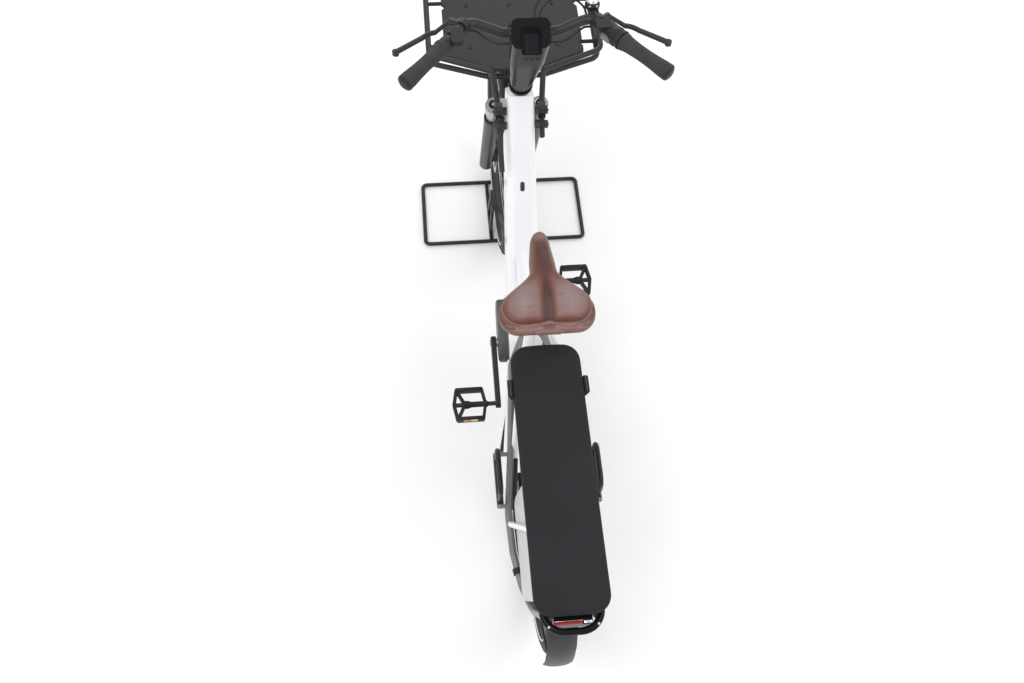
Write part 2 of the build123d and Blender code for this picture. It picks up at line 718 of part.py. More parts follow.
# Cranks: axle, two arms with the pedals' axles, and the front pulley
turn = radians(crank_angle)
pedal_place = {"left": (-pedal_x, bb_y - crank_length * cos(turn), bb_z - crank_length * sin(turn)),
               "right": (pedal_x, bb_y + crank_length * cos(turn), bb_z + crank_length * sin(turn))}
arm_near = arm_x - arm_thick / 2
with BuildPart() as crank_axle:
    tube_between((-arm_near, bb_y, bb_z), (arm_near, bb_y, bb_z), bb_axle_r)
finish(crank_axle, "crank_axle")
for label, side in (("left", -1), ("right", 1)):
    px, py, pz = pedal_place[label]
    with BuildPart() as crank:
        with BuildSketch(side_plane(side * arm_near, bb_y, bb_z)):
            Circle(18)
            with Locations((py - bb_y, pz - bb_z)):
                Circle(13)
            make_hull()
        extrude(amount=side * arm_thick)
        fillet(crank.edges().filter_by(GeomType.CIRCLE), 2)
        tube_between((side * (arm_near + arm_thick - 1), py, pz),
                     (side * (pedal_x + pedal_width / 2 - 6), py, pz), pedal_axle_r)
        if side > 0:
            with BuildSketch(side_plane(drive_x, bb_y, bb_z)) as ring:
                Circle(front_pulley_r)
                Circle(front_pulley_r - 12, mode=Mode.SUBTRACT)
                Circle(26)
                with PolarLocations(38, 5):
                    Rectangle(40, 12)
                Circle(bb_axle_r, mode=Mode.SUBTRACT)
            extrude(amount=belt_width / 2, both=True)
            with BuildSketch(side_plane(drive_x + belt_width / 2, bb_y, bb_z)) as boss:
                Circle(20)
                Circle(bb_axle_r, mode=Mode.SUBTRACT)
            extrude(boss.sketch, amount=arm_near - drive_x - belt_width / 2)
    finish(crank, f"crank_{label}")
    with BuildPart() as pedal:
        with BuildSketch(Plane(origin=(px, py, pz))) as cage:
            RectangleRounded(pedal_width, pedal_length, 14)
            RectangleRounded(pedal_width - 20, pedal_length - 20, 8, mode=Mode.SUBTRACT)
            Rectangle(8, pedal_length - 12, rotation=36)
            Rectangle(8, pedal_length - 12, rotation=-36)
            hollow_place = pedal_length / 2 + hollow_r - hollow_depth
            with Locations((0, hollow_place), (0, -hollow_place)):
                Circle(hollow_r, mode=Mode.SUBTRACT)
        extrude(amount=pedal_height / 2 - 2, both=True)
        with BuildSketch(side_plane(px - pedal_width / 2, py, pz)) as barrel:
            Circle(pedal_height / 2 + 1)
        extrude(barrel.sketch, amount=pedal_width)
        tube_between((side * (pedal_x - pedal_width), py, pz),
                     (side * (pedal_x + pedal_width / 2 - 5), py, pz), pedal_axle_r + pin_gap,
                     mode=Mode.SUBTRACT)
    finish(pedal, f"pedal_{label}")

# Footrests, folded up beside the chain stays, each on its hinge pin
for label, side in (("left", -1), ("right", 1)):
    x = side * footrest_x
    y = rear_y + footrest_ahead
    with BuildPart() as footrest:
        loop = [(x, y - footrest_length / 2, footrest_z),
                (x, y - footrest_length / 2, footrest_z + footrest_reach),
                (x, y + footrest_length / 2, footrest_z + footrest_reach),
                (x, y + footrest_length / 2, footrest_z)]
        bent_tube(loop, 22, footrest_bar_r)
        tube_between((x, y - footrest_length / 2 - 8, footrest_z),
                     (x, y + footrest_length / 2 + 8, footrest_z), footrest_barrel_r)
        tube_between((x, y - footrest_length, footrest_z), (x, y + footrest_length, footrest_z),
                     footrest_pin_r + pin_gap, mode=Mode.SUBTRACT)
    finish(footrest, f"footrest_{label}")

# Centre stand, folded back under the chain stays
with BuildPart() as centre_stand:
    stand_y = rear_y + stand_ahead
    tube_between((-stand_half, stand_y, stand_z), (stand_half, stand_y, stand_z), 11)
    for side in (-1, 1):
        leg = [(side * (stand_half - stand_leg_r - 5), stand_y, stand_z),
               (side * (stand_half + 2), stand_y - 70, stand_z - 4),
               (side * stand_foot_x, stand_y - stand_z + 3, stand_z - 4)]
        bent_tube(leg, 60, stand_leg_r)
    tube_between((-stand_half, stand_y, stand_z), (stand_half, stand_y, stand_z),
                 stand_pin_r + pin_gap, mode=Mode.SUBTRACT)
finish(centre_stand, "centre_stand")

# Fork: lower legs with the arch and axle, and the upper part that turns
with BuildPart() as fork_lowers:
    for side in (-1, 1):
        with BuildSketch(steer_plane(-12, x=side * leg_spread)) as leg:
            Circle(lower_r)
        extrude(leg.sketch, amount=lower_top + 12)
        foot = steer_point(side * front_dropout_x, 0, 4)
        with BuildSketch(side_plane(side * front_dropout_x, front_y, wheel_r)) as dropout:
            Circle(17)
            with Locations((foot.Y - front_y, foot.Z - wheel_r)):
                Circle(15)
            make_hull()
        extrude(dropout.sketch, amount=side * front_dropout_wall)
    with BuildSketch(steer_plane(arch_up)) as arch:
        Rectangle(leg_spread * 2, arch_depth)
    extrude(arch.sketch, amount=14, both=False)
    tube_between((-front_dropout_x - 8, front_y, wheel_r), (front_dropout_x + 8, front_y, wheel_r), axle_r)
finish(fork_lowers, "fork_lowers")

with BuildPart() as fork_upper:
    for side in (-1, 1):
        with BuildSketch(steer_plane(lower_top, x=side * leg_spread)) as stanchion:
            Circle(stanchion_r)
        extrude(stanchion.sketch, amount=stanchion_top - lower_top)
    with BuildSketch(steer_plane(stanchion_top - crown_height)) as crown:
        for side in (-1, 1):
            with Locations((side * leg_spread, 0)):
                Circle(stanchion_r + crown_wall)
        Rectangle(leg_spread * 2, 36)
    extrude(crown.sketch, amount=crown_height)
    with BuildSketch(steer_plane(stanchion_top)) as race:
        Circle(race_r)
    extrude(race.sketch, amount=head_tube_low - stanchion_top - pin_gap)
    with BuildSketch(steer_plane(stanchion_top)) as steerer:
        Circle(head_bore_r - pin_gap)
    extrude(steerer.sketch, amount=head_top - stanchion_top + 1)
finish(fork_upper, "fork_upper")

with BuildPart() as fork_caps:
    for side in (-1, 1):
        with BuildSketch(steer_plane(stanchion_top + pin_gap, x=side * leg_spread)) as cap:
            Circle(cap_r)
        extrude(cap.sketch, amount=cap_height)
    fillet(fork_caps.edges().filter_by(GeomType.CIRCLE), 1.5)
    for side in (-1, 1):
        with BuildSketch(steer_plane(lower_top + pin_gap, x=side * leg_spread)) as seal:
            Circle(lower_r + 1)
            Circle(stanchion_r + pin_gap, mode=Mode.SUBTRACT)
        extrude(seal.sketch, amount=seal_height)
finish(fork_caps, "fork_caps")

# Spacer ring over the head tube, and the stem, a wide moulded column for the bar
with BuildPart() as spacer_ring:
    with BuildSketch(steer_plane(head_top + pin_gap)):
        Circle(spacer_r)
    extrude(amount=spacer_height)
    fillet(spacer_ring.edges().filter_by(GeomType.CIRCLE), 3)
    with BuildSketch(steer_plane(head_top)):
        Circle(head_bore_r)
    extrude(amount=spacer_height * 2, mode=Mode.SUBTRACT)
finish(spacer_ring, "spacer_ring")

bar_centre = steer_point(0, 0, bar_clamp_up)
stem_low_up = head_top + spacer_height + 2 * pin_gap
stem_sections = ((stem_low_up, 0, 2 * stem_low_r, 2 * stem_low_r, stem_low_r - 1),
                 (stem_waist_up, -stem_set_back, stem_waist_width, stem_waist_depth, 16),
                 (stem_top_up + stem_top_depth, -stem_set_back, stem_top_width, stem_top_depth, 12))
display_rest = steer_point(0, -stem_set_back - stem_top_depth / 4, bar_clamp_up + bar_clamp_r)
display_plane = Plane(origin=display_rest, x_dir=(1, 0, 0),
                      z_dir=(0, -sin(radians(display_slope)), cos(radians(display_slope))))
with BuildPart() as stem:
    for up, forward, width, depth, corner in stem_sections:
        with BuildSketch(steer_plane(up, forward)):
            RectangleRounded(width, depth, corner)
    loft(ruled=True)
    with BuildSketch(display_plane):
        Rectangle(stem_top_width * 2, stem_top_depth * 4)
    extrude(amount=stem_top_depth * 3, mode=Mode.SUBTRACT)
    with BuildSketch(display_plane):
        RectangleRounded(display_width + 2 * pin_gap, display_length + 2 * pin_gap, 6)
    extrude(amount=-4, mode=Mode.SUBTRACT)
    tube_between(bar_centre - Vector(stem_top_width, 0, 0), bar_centre + Vector(stem_top_width, 0, 0),
                 bar_clamp_r + pin_gap, mode=Mode.SUBTRACT)
finish(stem, "stem")

# Handlebar, grips, levers, controls
bar_bends = ((0.0, 0.0, 0.0), (60.0, 4.0, 2.0), (133.0, 16.0, 28.0), (179.0, -54.0, 33.0),
             (269.0, -159.0, 35.0))
bar_right = [(x, bar_centre.Y + ahead, bar_centre.Z + up) for x, ahead, up in bar_bends]
bar_path = mirrored(bar_right[:0:-1]) + bar_right[1:]
with BuildPart() as handlebar:
    bent_tube(bar_path, 40, bar_r)
    tube_between(bar_centre - Vector(46, 0, 0), bar_centre + Vector(46, 0, 0), bar_clamp_r)
finish(handlebar, "handlebar")


def along_bar(side, distance, run=3):
    """A point on the bar's run that ends at the given bend, measured from its inner end."""
    near = Vector(*bar_right[run - 1])
    line = Vector(*bar_right[run]) - near
    place = near + line.normalized() * distance
    return Vector(side * place.X, place.Y, place.Z)


grip_start = 14.0
with BuildPart() as grips:
    for side in (-1, 1):
        tube_between(along_bar(side, grip_start, 4), along_bar(side, grip_start + grip_length, 4), grip_r)
    add(handlebar.part, mode=Mode.SUBTRACT)
finish(grips, "grips")

with BuildPart() as brake_levers:
    for side in (-1, 1):
        tube_between(along_bar(side, 12), along_bar(side, 26), bar_r + 5)
        pivot = along_bar(side, 19) + Vector(side * 26, 24, -8)
        tube_between(along_bar(side, 19) + Vector(side * 8, 8, -3), pivot, 8)
        tip = pivot + Vector(side * 115, -86, 1)
        bent_tube([pivot, pivot + Vector(side * 48, -4, -2), tip], 40, lever_r)
        with BuildSketch(Plane(origin=tip, z_dir=(0, 0, 1))) as ball:
            Circle(lever_r + 1.6)
        extrude(ball.sketch, amount=lever_r - 1, both=True)
    add(handlebar.part, mode=Mode.SUBTRACT)
finish(brake_levers, "brake_levers")

with BuildPart() as shifter:
    tube_between(along_bar(1, 44), along_bar(1, 80), 19)
    with BuildSketch(Plane(origin=along_bar(1, 42) + Vector(-8, -8, 12))):
        RectangleRounded(30, 26, 6)
    extrude(amount=8)
    add(handlebar.part, mode=Mode.SUBTRACT)
finish(shifter, "shifter")

with BuildPart() as remote:
    tube_between(along_bar(-1, 52), along_bar(-1, 64), bar_r + 4)
    with BuildSketch(Plane(origin=along_bar(-1, 58) + Vector(8, -12, 6))):
        RectangleRounded(26, 42, 7)
    extrude(amount=12)
    add(handlebar.part, mode=Mode.SUBTRACT)
finish(remote, "remote")

with BuildPart() as bell:
    bell_place = along_bar(1, 2) + Vector(0, 24, 8)
    with BuildSketch(Plane(origin=bell_place)):
        Circle(16)
    extrude(amount=14)
    fillet(bell.faces().sort_by(Axis.Z)[-1].edges(), 8)
    tube_between(along_bar(1, 2) + Vector(0, 0, 3), bell_place + Vector(0, -2, 2), 5)
    add(handlebar.part, mode=Mode.SUBTRACT)
finish(bell, "bell")

with BuildPart() as display:
    with BuildSketch(display_plane.offset(pin_gap - 4)):
        RectangleRounded(display_width, display_length, 6)
    extrude(amount=8)
    fillet(display.faces().sort_by(Axis.Z)[-1].edges(), 2)
finish(display, "display")

# Hoses and cables: two high loops to the right controls, two short ones under the bar
# and one down the left leg to the front caliper
def hose(points):
    """Round cable along straight runs, each bend as large as its two runs allow."""
    places = [Vector(*point) for point in points]
    radii = []
    for before, corner, after in zip(places, places[1:], places[2:]):
        run_in = corner - before
        run_out = after - corner
        turn_half = radians(run_in.get_angle(run_out)) / 2
        radii.append(0.45 * min(run_in.length, run_out.length) / tan(turn_half))
    print("hose radii", [round(radius) for radius in radii])
    bent_tube(places, radii, hose_r)


# Each place is right of, ahead of and above the bar's middle
loop_routes = (((10, 16, 8), (14, 74, 28), (32, 112, 42), (64, 130, 46), (98, 122, 42), (128, 94, 34),
                (147, 54, 27), (146, 12, 26)),
               ((20, 16, 6), (26, 66, 22), (46, 100, 32), (76, 112, 34), (104, 100, 30), (119, 70, 26),
                (122, 42, 22), (121, 14, 22)))
under_route = ((43, -12, -14), (68, -12, -16), (94, -2, -8), (116, 10, 6), (133, 0, 14))
with BuildPart() as bar_hoses:
    for route in loop_routes:
        hose([bar_centre + Vector(*place) for place in route])
    for side in (-1, 1):
        hose([bar_centre + Vector(side * x, y, z) for x, y, z in under_route])
    for piece in (handlebar, brake_levers, shifter, stem):
        add(piece.part, mode=Mode.SUBTRACT)
finish(bar_hoses, "bar_hoses")

# Brake calipers over the discs
with BuildPart() as rear_caliper:
    mount = side_plane(rear_rotor_x, rear_y + 78 * cos(radians(48)), wheel_r + 78 * sin(radians(48)))
    with BuildSketch(mount):
        RectangleRounded(44, 30, 6)
    extrude(amount=11, both=True)
    with BuildSketch(side_plane(rear_rotor_x, rear_y, wheel_r)):
        Circle(rotor_r + 2)
    extrude(amount=rotor_wall / 2 + 1.5, both=True, mode=Mode.SUBTRACT)
    add(rear_frame.part, mode=Mode.SUBTRACT)
finish(rear_caliper, "rear_caliper")
with BuildPart() as front_caliper:
    mount = side_plane(front_rotor_x, front_y - 84 * cos(radians(28)), wheel_r + 84 * sin(radians(28)))
    with BuildSketch(mount):
        RectangleRounded(34, 44, 6)
    extrude(amount=-16)
    with BuildSketch(mount):
        RectangleRounded(34, 44, 6)
    extrude(amount=5)
    with BuildSketch(side_plane(front_rotor_x, front_y, wheel_r)):
        Circle(rotor_r + 2)
    extrude(amount=rotor_wall / 2 + 1.5, both=True, mode=Mode.SUBTRACT)
    add(fork_lowers.part, mode=Mode.SUBTRACT)
finish(front_caliper, "front_caliper")

# Front rack on the head tube: two rail loops, posts and cross bars
with BuildPart() as front_rack:
    for side in (-1, 1):
        upper = [(side * 52, front_y + rack_clamp_ahead, rack_clamp_z),
                 (side * front_rail_centre_half, front_y + front_rail_centre_ahead, front_rail_z),
                 (side * front_rail_half, front_y + front_rail_corner_ahead, front_rail_z),
                 (side * front_rail_half, front_y + front_rail_end_ahead, front_rail_z),
                 (0, front_y + front_rail_end_ahead, front_rail_z)]
        bent_tube(upper, (14, 26, 34), rail_r)
        lower = [(0, front_y + low_rail_ahead, front_low_rail_z),
                 (side * 68, front_y + low_rail_ahead, front_low_rail_z),
                 (side * front_rail_half, front_y + front_rail_corner_ahead + 24, front_low_rail_z),
                 (side * front_rail_half, front_y + front_rail_end_ahead, front_low_rail_z),
                 (0, front_y + front_rail_end_ahead, front_low_rail_z)]
        bent_tube(lower, (20, 26, 34), rail_r)
        for ahead in (tray_bars[0], tray_bars[2]):
            tube_between((side * front_rail_half, front_y + ahead, front_low_rail_z),
                         (side * front_rail_half, front_y + ahead, front_rail_z), 5)
        tube_between((side * front_rail_centre_half, front_y + front_rail_centre_ahead + 9, front_rail_z),
                     (side * 66, front_y + low_rail_ahead, front_low_rail_z), 5)
        clamp_x = side * (down_tube_width / 2 + pin_gap)
        with BuildSketch(side_plane(clamp_x, front_y + rack_clamp_ahead, rack_clamp_z)) as clamp:
            RectangleRounded(30, 34, 4)
        extrude(clamp.sketch, amount=side * 18)
        tube_between((side * 53, front_y + rack_clamp_ahead - 4, rack_clamp_z - 6),
                     (side * 50, front_y + rack_clamp_ahead - 110, rack_clamp_z - 96), 6.5)
    for ahead in tray_bars:
        tube_between((-front_rail_half, front_y + ahead, tray_bar_z),
                     (front_rail_half, front_y + ahead, tray_bar_z), tray_bar_r)
    tube_between((-front_rail_half, front_y + tray_bars[1], tray_bar_z),
                 (-front_rail_half, front_y + tray_bars[1], front_rail_z), 5)
    tube_between((front_rail_half, front_y + tray_bars[1], tray_bar_z),
                 (front_rail_half, front_y + tray_bars[1], front_rail_z), 5)
finish(front_rack, "front_rack")

with BuildPart() as tray_board:
    with BuildSketch(Plane.XY.offset(tray_z - tray_thick)):
        with BuildLine():
            Polyline((-tray_half, front_y - 117), (-56, front_y - 171), (56, front_y - 171),
                     (tray_half, front_y - 117), (tray_half, front_y + tray_front_ahead),
                     (-tray_half, front_y + tray_front_ahead), close=True)
        make_face()
        for side in (-1, 1):
            for ahead in tray_notches:
                with BuildLine():
                    Polyline((side * (tray_half + 1), front_y + ahead - 13),
                             (side * (tray_half - 12), front_y + ahead),
                             (side * (tray_half + 1), front_y + ahead + 13), close=True)
                make_face(mode=Mode.SUBTRACT)
    extrude(amount=tray_thick)
    with BuildSketch(Plane.XY.offset(tray_z)):
        with Locations((0, front_y + tray_bolt_ahead)):
            with GridLocations(tray_bolt_x, tray_bolt_y, 2, 2):
                Circle(tray_bolt_r)
    extrude(amount=-tray_thick, mode=Mode.SUBTRACT)
finish(tray_board, "tray_board")

with BuildPart() as headlamp:
    lamp_y = front_y + front_rail_end_ahead + rail_r + pin_gap
    lamp = Plane(origin=(0, lamp_y, front_rail_z - 24), x_dir=(1, 0, 0), z_dir=(0, 1, 0))
    with BuildSketch(lamp):
        Circle(24)
    extrude(amount=34)
    with BuildSketch(lamp):
        with Locations((0, -18)):
            Rectangle(16, 30)
    extrude(amount=6)
finish(headlamp, "headlamp")

# Display stand: a floor loop round the front wheel's foot, two slot bars and two hoops
display_front = front_y + display_front_ahead
display_rear = front_y + display_rear_ahead
with BuildPart() as display_stand:
    z = display_rod_r
    for side in (-1, 1):
        loop = [(0, display_front, z), (side * display_half, display_front, z),
                (side * display_half, display_rear, z), (0, display_rear, z)]
        bent_tube(loop, 14, display_rod_r)
    for side in (-1, 1):
        x = side * slot_half
        tube_between((x, display_rear, z), (x, display_front, z), display_rod_r - 0.4)
        hoop = [(x, display_rear + 42, z), (x, display_rear - 8, hoop_height),
                (x, display_rear + 44, hoop_height), (x, display_rear + 118, z)]
        bent_tube(hoop, 14, display_rod_r - 0.8)
finish(display_stand, "display_stand")
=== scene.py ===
import bpy
import bmesh
import json
from math import cos, pi, radians, sin
from mathutils import Matrix, Vector


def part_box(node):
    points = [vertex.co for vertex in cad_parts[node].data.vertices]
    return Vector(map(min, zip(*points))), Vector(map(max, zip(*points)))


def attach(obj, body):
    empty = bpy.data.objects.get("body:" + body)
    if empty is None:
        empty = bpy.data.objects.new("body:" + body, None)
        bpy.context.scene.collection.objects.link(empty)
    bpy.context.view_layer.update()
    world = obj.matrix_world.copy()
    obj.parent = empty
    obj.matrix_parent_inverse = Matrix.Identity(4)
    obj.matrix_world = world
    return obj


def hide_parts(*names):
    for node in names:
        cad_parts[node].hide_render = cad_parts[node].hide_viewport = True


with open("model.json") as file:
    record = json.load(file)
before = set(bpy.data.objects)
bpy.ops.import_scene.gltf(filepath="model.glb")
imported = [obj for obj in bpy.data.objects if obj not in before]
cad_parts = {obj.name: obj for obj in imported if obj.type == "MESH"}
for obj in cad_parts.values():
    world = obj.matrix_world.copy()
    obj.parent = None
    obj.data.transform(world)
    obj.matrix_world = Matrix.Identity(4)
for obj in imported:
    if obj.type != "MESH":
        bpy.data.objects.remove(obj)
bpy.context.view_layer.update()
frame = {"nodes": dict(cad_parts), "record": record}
record = frame["record"]

# Studio: a pale floor under the bicycle, three large soft lamps and a camera
# above and behind the rider's left shoulder, looking down at the saddle.
floor_size = 14.0
floor_tone = 0.93
sky_strength = 0.82
lamp_aim = Vector((0, 0, 0.5))
camera_place = Vector((-0.2328, -1.3856, 2.7118))
camera_yaw = 8.546
camera_dip = 60.92
camera_roll = 4.2
focal_share = 1.00523
sensor = 36.0


class Wire:
    """A socket of a material's nodes that takes part in sums."""

    def __init__(self, tree, socket):
        self.tree = tree
        self.socket = socket

    def node(self, kind, settings, sockets, out=0):
        """Add a node: its settings first, then what its sockets hold or come from."""
        made = self.tree.nodes.new(kind)
        for key, value in settings.items():
            setattr(made, key, value)
        for key, value in sockets.items():
            if isinstance(value, Wire):
                self.tree.links.new(value.socket, made.inputs[key])
            else:
                made.inputs[key].default_value = value
        return Wire(self.tree, made.outputs[out])

    def maths(self, operation, other=0.0):
        """One Math node, with this value first."""
        return self.node("ShaderNodeMath", {"operation": operation}, {0: self, 1: other})

    def __add__(self, other):
        return self.maths("ADD", other)

    def __sub__(self, other):
        return self.maths("SUBTRACT", other)

    def __rsub__(self, other):
        return self.node("ShaderNodeMath", {"operation": "SUBTRACT"}, {0: other, 1: self})

    def __mul__(self, other):
        return self.maths("MULTIPLY", other)

    def __truediv__(self, other):
        return self.maths("DIVIDE", other)

    def size(self):
        """The value without its sign."""
        return self.maths("ABSOLUTE")

    def line(self, middle, half, edge):
        """1 in a band around a value, 0 outside it, with an edge that wide."""
        inside = (half - (self - middle).size()) / edge + 0.5
        return self.node("ShaderNodeClamp", {}, {"Value": inside})

    def part(self, axis):
        """One coordinate of a vector."""
        return self.node("ShaderNodeSeparateXYZ", {}, {"Vector": self}, out="XYZ".index(axis))

    def noise(self, scale, detail=3.0, stretch=(1, 1, 1)):
        """Cloudy variation from 0 to 1, drawn out along an axis where it is stretched."""
        placed = self.node("ShaderNodeMapping", {}, {"Vector": self, "Scale": stretch})
        return self.node("ShaderNodeTexNoise", {}, {"Vector": placed, "Scale": scale, "Detail": detail})

    def cells(self, scale):
        """Distance to the nearest of many scattered points."""
        return self.node("ShaderNodeTexVoronoi", {}, {"Vector": self, "Scale": scale})

    def waves(self, scale, direction, distortion=0.0):
        """Straight waves across one axis."""
        settings = {"wave_type": "BANDS", "bands_direction": direction}
        sockets = {"Vector": self, "Scale": scale, "Distortion": distortion}
        return self.node("ShaderNodeTexWave", settings, sockets, out=1)

    def between(self, low, high):
        """A colour between two, mixed by this value."""
        ends = [end if isinstance(end, Wire) else (*end, 1.0) for end in (low, high)]
        return self.node("ShaderNodeMix", {"data_type": "RGBA"}, {0: self, 6: ends[0], 7: ends[1]}, out=2)

    def spread(self, low, high):
        """The same value stretched over another range."""
        return self * (high - low) + low

    def bump(self, height):
        """Raise the surface by this value, so many metres at most."""
        self.node("ShaderNodeBump", {}, {"Height": self, "Distance": height}).to("Normal")

    def to(self, socket_name):
        """Link this value to the material's shader."""
        shader = self.tree.nodes["Principled BSDF"]
        self.tree.links.new(self.socket, shader.inputs[socket_name])


def new_material(name, colour, roughness, metallic=0.0, specular=0.3, **fixed):
    """A material with its plain shader set, and a wire of the object's own coordinates."""
    material = bpy.data.materials.new(name)
    material.use_nodes = True
    tree = material.node_tree
    shader = tree.nodes["Principled BSDF"]
    shader.inputs["Base Color"].default_value = (*colour, 1.0)
    shader.inputs["Roughness"].default_value = roughness
    shader.inputs["Metallic"].default_value = metallic
    shader.inputs["Specular IOR Level"].default_value = specular
    for key, value in fixed.items():
        shader.inputs[key.replace("_", " ").title()].default_value = value
    coordinates = tree.nodes.new("ShaderNodeTexCoord")
    return material, Wire(tree, coordinates.outputs["Object"])


def object_from(name, form, material):
    """Turn a bmesh into a linked object with one material."""
    mesh = bpy.data.meshes.new(name)
    form.to_mesh(mesh)
    form.free()
    mesh.materials.append(material)
    made = bpy.data.objects.new(name, mesh)
    bpy.context.scene.collection.objects.link(made)
    return made


def axes(first, second, third):
    """Matrix that turns a shape's own X, Y and Z to these directions."""
    return Matrix((first, second, third)).transposed().to_4x4()


floor_paint, _ = new_material("studio_floor", (floor_tone,) * 3, 0.7)
form = bmesh.new()
bmesh.ops.create_grid(form, x_segments=1, y_segments=1, size=floor_size / 2)
object_from("floor", form, floor_paint)

# Name, place, side in metres and power in watts of each lamp.
lamps = (("key", (-1.6, -1.2, 3.6), 2.6, 55.0), ("fill", (2.4, -0.6, 3.0), 2.6, 34.0),
         ("front", (0.3, 3.4, 2.6), 2.4, 30.0))
for name, place, size, power in lamps:
    lamp_data = bpy.data.lights.new(name, "AREA")
    lamp_data.shape = "SQUARE"
    lamp_data.size = size
    lamp_data.energy = power
    lamp = bpy.data.objects.new(name, lamp_data)
    lamp.location = place
    lamp.rotation_euler = (lamp_aim - Vector(place)).to_track_quat("-Z", "Y").to_euler()
    bpy.context.scene.collection.objects.link(lamp)
world = bpy.data.worlds.new("studio")
world.use_nodes = True
sky = world.node_tree.nodes["Background"].inputs
sky["Color"].default_value = (1.0, 1.0, 1.0, 1.0)
sky["Strength"].default_value = sky_strength
bpy.context.scene.world = world
bpy.context.scene.view_settings.view_transform = "Standard"

yaw = radians(camera_yaw)
dip = radians(camera_dip)
roll = radians(camera_roll)
look = Vector((sin(yaw) * cos(dip), cos(yaw) * cos(dip), -sin(dip)))
level = Vector((cos(yaw), -sin(yaw), 0.0))
upright = level.cross(look)
right = level * cos(roll) + upright * sin(roll)
top = upright * cos(roll) - level * sin(roll)
camera_data = bpy.data.cameras.new("camera")
camera_data.sensor_width = sensor
camera_data.lens = sensor * focal_share
camera = bpy.data.objects.new("camera", camera_data)
camera.matrix_world = axes(right, top, -look)
camera.location = camera_place
bpy.context.scene.collection.objects.link(camera)
bpy.context.scene.camera = camera

# Frame and rear frame: hydroformed aluminium, welded and sprayed gloss white, with
# a painted reflection, a faint lilac band that dims the white, down the big tube,
# which narrows at the head, and a black clamp sleeve at the top of the seat tube.
white = (0.86, 0.86, 0.868)
shade = (0.82, 0.82, 0.835)
lilac_reflection = (0.775, 0.775, 0.805)
black = (0.014, 0.014, 0.016)
reflection_middle = 0.006
reflection_half = 0.026
reflection_blur = 0.016
sleeve_y = -0.20
sleeve_half_y = 0.09
sleeve_z = 0.72
sleeve_half_z = 0.125
crisp = 0.001
head_taper = 0.25
taper_y = 0.2
taper_z = 0.65
taper_rise = 0.15
sharp_edge = 32.0
merge_gap = 1e-5
body_of_node = {node: body for body, nodes in record["behaviour"]["bodies"].items() for node in nodes}


def smooth(form, angle):
    """Shade faces smooth, with edges sharper than an angle left crisp."""
    for face in form.faces:
        face.smooth = True
    for edge in form.edges:
        edge.smooth = len(edge.link_faces) == 2 and edge.calc_face_angle() < radians(angle)


def soft_step(value):
    """0 to 1 with flat ends."""
    held = min(max(value, 0.0), 1.0)
    return held * held * (3 - 2 * held)


def refined(name, material, angle=sharp_edge, move=None):
    """A node's own shape, its seams merged and shaded smooth, in place of the node."""
    form = bmesh.new()
    form.from_mesh(frame["nodes"][name].data)
    bmesh.ops.remove_doubles(form, verts=form.verts, dist=merge_gap)
    if move:
        for vert in form.verts:
            move(vert.co)
    smooth(form, angle)
    piece = object_from(f"{name}_dressed", form, material)
    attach(piece, body_of_node[name])
    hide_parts(name)
    return piece


def narrow_head(spot):
    """Draw in the top of the down tube."""
    if spot.y > taper_y:
        spot.x *= 1 - head_taper * soft_step((spot.z - taper_z) / taper_rise)


def gloss_white(name):
    """White paint with a faintly rippled skin, its coordinates and its clouded tone."""
    material, place = new_material(name, white, 0.25, specular=0.5, Coat_Weight=0.4)
    cloud = place.noise(9.0)
    cloud.spread(0.20, 0.32).to("Roughness")
    place.noise(420.0, 1.0).bump(0.00004)
    return material, place, cloud.between(white, shade)


white_paint, place, tone = gloss_white("white_paint")
# Painted reflection: a faint lilac band down the middle of the big tube, a little darker than the white.
reflection_band = place.part("X").line(reflection_middle, reflection_half, reflection_blur)
sleeve = place.part("Y").line(sleeve_y, sleeve_half_y, crisp)
sleeve *= place.part("Z").line(sleeve_z, sleeve_half_z, crisp)
sleeve.between(reflection_band.between(tone, lilac_reflection), black).to("Base Color")
plain_white, place, tone = gloss_white("plain_white_paint")
tone.to("Base Color")
refined("frame", white_paint, move=narrow_head)
refined("rear_frame", plain_white)


def fresh(name, form, material, body, angle=sharp_edge):
    """A new piece with its normals outwards, riding on a body, with one material."""
    bmesh.ops.remove_doubles(form, verts=form.verts, dist=1e-6)
    bmesh.ops.recalc_face_normals(form, faces=form.faces)
    smooth(form, angle)
    piece = object_from(name, form, material)
    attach(piece, body)
    return piece


def facing(place, direction):
    """Matrix that stands a shape made along Z at a place, its Z along a direction."""
    return Matrix.Translation(place) @ Vector(direction).to_track_quat("Z", "Y").to_matrix().to_4x4()


def add_part(form, part, matrix):
    """Place a small form made round the origin and add it to a bigger one."""
    bmesh.ops.transform(part, matrix=matrix, verts=part.verts)
    mesh = bpy.data.meshes.new("part")
    part.to_mesh(mesh)
    part.free()
    form.from_mesh(mesh)
    bpy.data.meshes.remove(mesh)


def lathe(form, outline, matrix, steps=32):
    """Turn an outline of (radius, height) points round Z, then place it."""
    part = bmesh.new()
    verts = [bmesh.ops.create_vert(part, co=(radius, 0.0, height))["vert"][0] for radius, height in outline]
    edges = [part.edges.new(pair) for pair in zip(verts, verts[1:])]
    bmesh.ops.spin(part, geom=verts + edges, axis=(0, 0, 1), cent=(0, 0, 0), steps=steps,
                   angle=2 * pi, use_merge=True)
    add_part(form, part, matrix)


def soft_block(form, size, centre, rounding, turn=Matrix.Identity(4)):
    """A block with rounded edges."""
    part = bmesh.new()
    bmesh.ops.create_cube(part, size=1.0)
    bmesh.ops.scale(part, vec=size, verts=part.verts)
    bmesh.ops.bevel(part, geom=part.edges[:], offset=rounding, offset_type="OFFSET", segments=2, profile=0.5,
                    affect="EDGES", material=-1)
    add_part(form, part, Matrix.Translation(centre) @ turn)


